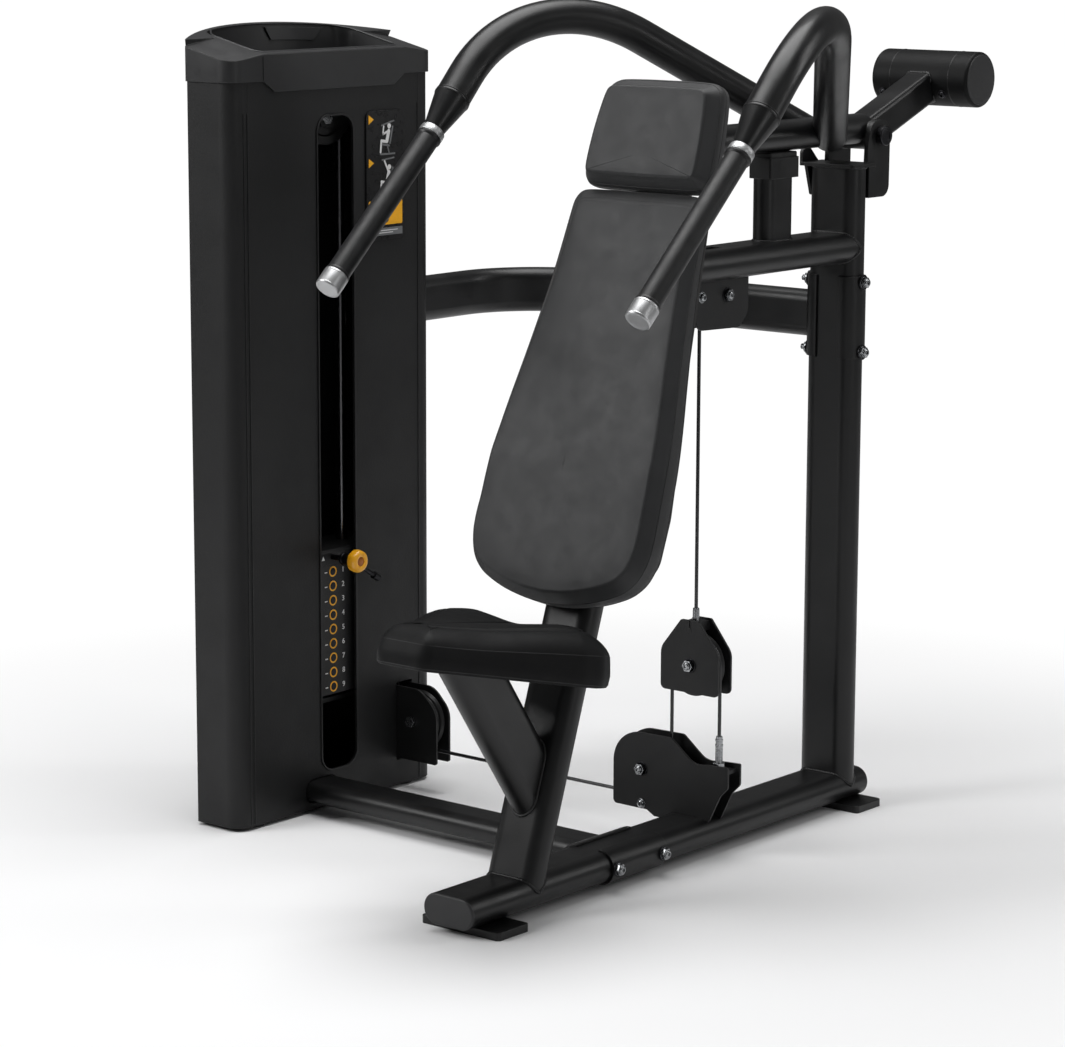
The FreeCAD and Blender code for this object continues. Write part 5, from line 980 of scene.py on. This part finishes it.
# selector knob: turned grip with soft lobes and a dark centre plug
KN = V((-0.609, TY, 0.4393))
knob = lathe("pin_knob_form", [(0.0130, 0.0002), (0.0165, 0.0006), (0.0188, 0.0030), (0.0195, 0.0065), (0.0195, 0.0115), (0.0188, 0.0150), (0.0170, 0.0182), (0.0140, 0.0198), (0.0105, 0.0196), (0.0085, 0.0184), (0.0078, 0.0160)],
             KN, (1, 0, 0), M["knob_orange"], "selector", 72, (6, 0.018, 0.0175))
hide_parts("pin_knob")
lathe("pin_knob_plug", [(0.0077, 0.0), (0.0077, 0.0160), (0.0066, 0.0172), (0.0040, 0.0177), (0.0012, 0.0178)], KN + V((0.0010, 0, 0)), (1, 0, 0), plastic("knob_plug", (0.42, 0.13, 0.010), 0.35, 0.05), "selector", 40)
lathe("pin_collar_form", [(0.0109, 0.0), (0.0116, 0.0010), (0.0116, 0.0050), (0.0109, 0.0060)], KN + V((-0.0240, 0, 0)), (1, 0, 0), M["pin_steel"], "selector", 40)

# placard: film with generic drawings, all flat ink shapes
PLX = TX + 0.00308
PY0, PZ0 = yy(578.5), 1.0895


def ink_poly(name, pts, mat, th=0.0004, dx=0.0):
    return prism(name, pts, (PLX + dx, PY0, PZ0), (0, 1, 0), (0, 0, 1), th, mat, bev=0.0001)


def bar(a, b, w):
    a, b = V(a), V(b)
    d = (b - a).normalized()
    nrm = V((-d.y, d.x)) * (w / 2)
    out = []
    for c, s0 in ((a, math.pi / 2), (b, -math.pi / 2)):
        for k in range(7):
            q = s0 + math.pi * k / 6
            out.append((c.x + math.cos(q) * d.x * w / 2 - math.sin(q) * d.y * w / 2, c.y + math.cos(q) * d.y * w / 2 + math.sin(q) * d.x * w / 2))
    return out


def disc2(c, r, n=20):
    return [(c[0] + r * math.cos(2 * math.pi * k / n), c[1] + r * math.sin(2 * math.pi * k / n)) for k in range(n)]


def sitter(tag, ox, oz, up, mat=None):
    """Seated figure by a machine, as bars and discs."""
    mat = mat or INK_WHITE
    s = 0.9
    parts = [("seat", bar((ox - 0.012, oz - 0.013), (ox + 0.006, oz - 0.016), 0.0035)), ("back", bar((ox + 0.008, oz - 0.012), (ox + 0.015, oz + 0.016), 0.0035)),
             ("post", bar((ox + 0.002, oz - 0.017), (ox + 0.006, oz - 0.029), 0.0028)), ("base", bar((ox - 0.016, oz - 0.030), (ox + 0.020, oz - 0.030), 0.0028)),
             ("body", bar((ox + 0.000, oz - 0.008), (ox + 0.005, oz + 0.009), 0.0075)), ("thigh", bar((ox + 0.000, oz - 0.009), (ox - 0.014, oz - 0.007), 0.005)),
             ("shin", bar((ox - 0.014, oz - 0.008), (ox - 0.016, oz - 0.026), 0.0042))]
    if up:
        parts += [("arm", bar((ox + 0.004, oz + 0.009), (ox - 0.006, oz + 0.028), 0.0038)), ("bar", bar((ox - 0.012, oz + 0.030), (ox + 0.018, oz + 0.033), 0.0026))]
    else:
        parts += [("arm", bar((ox + 0.004, oz + 0.009), (ox - 0.010, oz + 0.004), 0.0038)), ("fore", bar((ox - 0.010, oz + 0.004), (ox - 0.008, oz + 0.017), 0.0034)),
                  ("bar", bar((ox - 0.013, oz + 0.019), (ox + 0.018, oz + 0.026), 0.0026))]
    for nm, p in parts:
        ink_poly("fig_%s_%s" % (tag, nm), p, INK_GREY if nm in ("seat", "back", "post", "base", "bar") else mat, 0.0004, 0.00012 if nm in ("arm", "fore", "thigh") else 0.0)
    ink_poly("fig_%s_head" % tag, disc2((ox + 0.006, oz + 0.0175), 0.0045), mat, 0.0004, 0.0001)


sitter("one", 0.004, 0.066, False)
sitter("two", 0.004, -0.004, True)
for i, zz in enumerate((0.096, 0.022)):
    ink_poly("tri_%d" % i, [(-0.042, zz + 0.008), (-0.042, zz - 0.008), (-0.029, zz)], INK_ORANGE)
ink_poly("panel_orange", fillet2([(-0.043, -0.085), (0.043, -0.085), (0.043, -0.043), (-0.043, -0.043)], 0.003, 3), INK_ORANGE)
# body outline for worked muscles, generic
for nm, p in (("trunk", bar((0.0, -0.074), (0.0, -0.060), 0.016)), ("arm_l", bar((-0.008, -0.058), (-0.018, -0.048), 0.0052)), ("arm_r", bar((0.008, -0.058), (0.018, -0.048), 0.0052))):
    ink_poly("map_%s" % nm, p, INK_DARK, 0.0004, 0.0004)
ink_poly("map_head", disc2((0, -0.049), 0.0048), INK_DARK, 0.0004, 0.0004)
ink_poly("footer", [(-0.043, -0.103), (0.043, -0.103), (0.043, -0.090), (-0.043, -0.090)], INK_GREY)
for i in range(2):
    ink_poly("footer_line_%d" % i, bar((-0.034, -0.0945 - 0.004 * i), (0.030 - 0.012 * i, -0.0945 - 0.004 * i), 0.0014), INK_WHITE, 0.0004, 0.0004)

# shell details: corner reveal strips, small screws
for i, sy in enumerate((TY - 0.249 + 0.039, TY + 0.249 - 0.039, TY - 0.249 + 0.030)):
    sweep("shell_reveal_%d" % i, [(TX + 0.0002, sy, z * 0.01) for z in range(1, 124, 4)], 0.0012, M["window_rubber"], "frame", 8, False)
for i, z in enumerate((0.800, 0.880, 0.922)):
    bolt("shell_screw_%d" % i, (-0.672, TY + 0.2488, z), (0, 1, 0), 0.0055, 0.0035)


def tower_loop(o):
    """Plan of the tower outline grown by o."""
    y0, y1, xs, r = TY - 0.249 - o, TY + 0.249 + o, -0.743, 0.028
    xf = TX + o
    R = ((0.249 + o) ** 2 + (0.076 + o) ** 2) / (2 * (0.076 + o))
    pts = [(xf, y0 + r), (xf, y1 - r)]
    pts += [(xf - r + r * math.cos(a), y1 - r + r * math.sin(a)) for a in [math.pi / 2 * k / 8 for k in range(1, 9)]]
    pts += [(xs, y1)]
    cx = xs - (0.076 + o) + R
    a1 = math.asin((0.249 + o) / R)
    for k in range(1, 24):
        a = a1 - 2 * a1 * k / 24
        pts.append((cx - R * math.cos(a), TY + R * math.sin(a)))
    pts += [(xs, y0)]
    pts += [(xf - r + r * math.cos(a), y0 + r + r * math.sin(a)) for a in [-math.pi / 2 + math.pi / 2 * k / 8 for k in range(0, 8)]]
    return pts


def cap_z(x):
    return 1.306 + 0.2350 * (TX - x)


def cap_surface(x, y):
    z = cap_z(x)
    d = abs(y - TY) - 0.177
    if d > 0 and x > -0.7445:
        z -= d * 0.1475
    return z


# tray edge: inner line of the rim, rolled
Rt = ((0.243) ** 2 + (0.070) ** 2) / (2 * 0.070)
cxt = -0.743 - 0.070 + Rt
half = []
for k in range(0, 13):
    yk = 0.147 * k / 12
    half.append((cxt - math.sqrt(Rt ** 2 - yk ** 2), yk))
half += [(-0.7705 + 0.0, 0.1645), (-0.7640, 0.1700), (-0.7540, 0.1729), (-0.6675, 0.1729), (-0.6590, 0.1695), (-0.6552, 0.1610), (-0.6551, 0.08), (-0.6551, 0.0)]
tray_line = [(x, TY + y) for x, y in half] + [(x, TY - y) for x, y in reversed(half[1:-1])]
tl3 = resample([V((x, y, cap_surface(x, y) - 0.0002)) for x, y in tray_line], 0.005)
sweep("cap_tray_rim", tl3, 0.0017, CAP_RIM, "frame", 10, True)
# front lip: three low pads along the top, in the lighter cap plastic that is partly painted highlight
for i, (ya, yb, dz) in enumerate(((-0.160, -0.055, 0.0018), (-0.050, 0.060, 0.0030), (0.065, 0.160, 0.0018))):
    prism("cap_lip_%d" % i, fillet2([(ya, -0.0052), (yb, -0.0052), (yb, 0.0046), (ya, 0.0046)], 0.002, 3), (-0.6490, TY, cap_z(-0.6490) - 0.0004), (0, 1, 0), (-1, 0, 0.235), -dz, CAP_RIM, bev=0.0006)
# section line of the front moulding and the blank panel on the rear wall of the tray
sweep("cap_section_line", [(-0.6413, TY - 0.174, z) for z in (1.2625, 1.275, 1.29, 1.302)], 0.0009, M["window_rubber"], "frame", 8, False)
bp_pts = []
for y_, z_ in ((0.005, 0.004), (0.128, 0.004), (0.112, 0.026), (0.020, 0.026)):
    bp_pts.append((y_, z_))
vv, ff = [], []
nb = 14
for j in range(nb + 1):
    t = j / nb
    for edge in (0, 1):
        y_ = (0.005 + 0.123 * t) if edge == 0 else (0.020 + 0.092 * t)
        xw = cxt - math.sqrt(Rt ** 2 - y_ ** 2)
        zt = cap_z(xw) - (0.006 if edge == 0 else 0.028)
        for dpt in (0.0002, 0.0030):
            vv.append((xw + dpt, TY + y_, zt))
for j in range(nb):
    a0, b0 = j * 4, (j + 1) * 4
    ff += [(a0 + 1, b0 + 1, b0 + 3, a0 + 3), (a0, a0 + 2, b0 + 2, b0), (a0, b0, b0 + 1, a0 + 1), (a0 + 2, a0 + 3, b0 + 3, b0 + 2)]
ff += [(0, 1, 3, 2), (nb * 4, nb * 4 + 2, nb * 4 + 3, nb * 4 + 1)]
make("cap_blank_panel", vv, ff, CAP_RIM, "frame")
# low pad in the tray
tray = fillet2([(-0.750, TY - 0.155), (-0.668, TY - 0.155), (-0.668, TY + 0.155), (-0.750, TY + 0.155), (-0.790, TY + 0.09), (-0.790, TY - 0.09)], 0.012, 5)
prism("tray_mat", [(q[0], q[1]) for q in tray], (0, 0, 1.2762), (1, 0, 0), (0, 1, 0), 0.0022, M["window_rubber"], bev=0.0008)

# ------------------------------------------------------------------ stage, light, camera
floor_m = Mat("studio_floor")
fc = floor_m.mix(floor_m.span(floor_m.noise(0.7, 3.0), 0.3, 0.7, 0.0, 1.0), (0.86, 0.86, 0.865), (0.88, 0.88, 0.885))
floor_m.set(color=fc, rough=0.6, normal=floor_m.bump(floor_m.noise(60.0), 0.02, 0.0005), spec=0.2)
# the sweep fades to plain white away from the object
sub = floor_m.n("ShaderNodeVectorMath", operation="SUBTRACT")
sub.inputs[1].default_value = (-0.30, 0.52, 0.0)
floor_m.l(floor_m.co, sub.inputs[0])
ln = floor_m.n("ShaderNodeVectorMath", operation="LENGTH")
floor_m.l(sub.outputs[0], ln.inputs[0])
far = floor_m.n("ShaderNodeMapRange", interpolation_type="SMOOTHSTEP")
far.inputs["From Min"].default_value = 0.85
far.inputs["From Max"].default_value = 2.0
floor_m.l(ln.outputs["Value"], far.inputs["Value"])
lp = floor_m.n("ShaderNodeLightPath")
fade = floor_m.math("MULTIPLY", far.outputs["Result"], lp.outputs["Is Camera Ray"])
em = floor_m.n("ShaderNodeEmission")
em.inputs["Color"].default_value = (1, 1, 1, 1)
em.inputs["Strength"].default_value = 1.02
mx = floor_m.n("ShaderNodeMixShader")
floor_m.l(fade, mx.inputs[0])
floor_m.l(floor_m.b.outputs[0], mx.inputs[1])
floor_m.l(em.outputs[0], mx.inputs[2])
floor_m.l(mx.outputs[0], floor_m.out.inputs["Surface"])
s = 90.0
floor = make("studio_floor", [(-s, -s, 0), (s, -s, 0), (s, s, 0), (-s, s, 0)], [(0, 1, 2, 3)], floor_m.m, None, False)
floor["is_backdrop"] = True

world = bpy.data.worlds.new("studio")
bpy.context.scene.world = world
world.use_nodes = True
wt = world.node_tree
bg = wt.nodes["Background"]
bg.inputs["Color"].default_value = (1.0, 1.0, 1.0, 1)
lpw = wt.nodes.new("ShaderNodeLightPath")
mr = wt.nodes.new("ShaderNodeMapRange")
mr.inputs["To Min"].default_value = WORLD_DIM
mr.inputs["To Max"].default_value = 1.0
wt.links.new(lpw.outputs["Is Camera Ray"], mr.inputs["Value"])
wt.links.new(mr.outputs["Result"], bg.inputs["Strength"])


def area(name, pos, target, sx, sy, power, col=(1, 1, 1)):
    d = bpy.data.lights.new(name, "AREA")
    d.shape = "RECTANGLE"
    d.size, d.size_y = sx, sy
    d.energy = power
    d.color = col
    ob = bpy.data.objects.new(name, d)
    ob.location = pos
    ob.rotation_euler = (V(target) - V(pos)).to_track_quat("-Z", "Y").to_euler()
    bpy.context.scene.collection.objects.link(ob)
    return ob


area("top_box", (-0.4, 0.6, 4.4), (-0.3, 0.5, 0), 3.3, 3.3, 178)
area("left_box", (-2.3, -2.6, 2.7), (0, 0.2, 0.9), 1.7, 1.7, 84)
area("rear_strip", (2.4, 3.0, 2.4), (0.1, 0.7, 0.9), 0.5, 2.2, 22)
area("right_strip", (3.6, 0.2, 1.9), (0.1, 0.6, 0.9), 0.35, 2.2, 12)

cam_d = bpy.data.cameras.new("view")
cam_d.sensor_fit = "HORIZONTAL"
cam_d.sensor_width = 36.0
cam_d.lens = 3461.48 / 1065.0 * 36.0
cam_d.clip_end = 400.0
cam = bpy.data.objects.new("view", cam_d)
bpy.context.scene.collection.objects.link(cam)
az, pi_, ro = math.radians(39.566), math.radians(10.509), math.radians(0.168)
f = V((-math.sin(az) * math.cos(pi_), math.cos(az) * math.cos(pi_), -math.sin(pi_)))
r = V((math.cos(az), math.sin(az), 0))
u = r.cross(f)
r2 = r * math.cos(ro) + u * math.sin(ro)
u2 = r * -math.sin(ro) + u * math.cos(ro)
cam.matrix_world = Matrix(((r2.x, u2.x, -f.x, 3.3377), (r2.y, u2.y, -f.y, -3.9032), (r2.z, u2.z, -f.z, 1.585), (0, 0, 0, 1)))
bpy.context.scene.camera = cam
bpy.context.scene.view_settings.view_transform = "Standard"

{"cad": CAD_BOX, "visual": plain(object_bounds())}
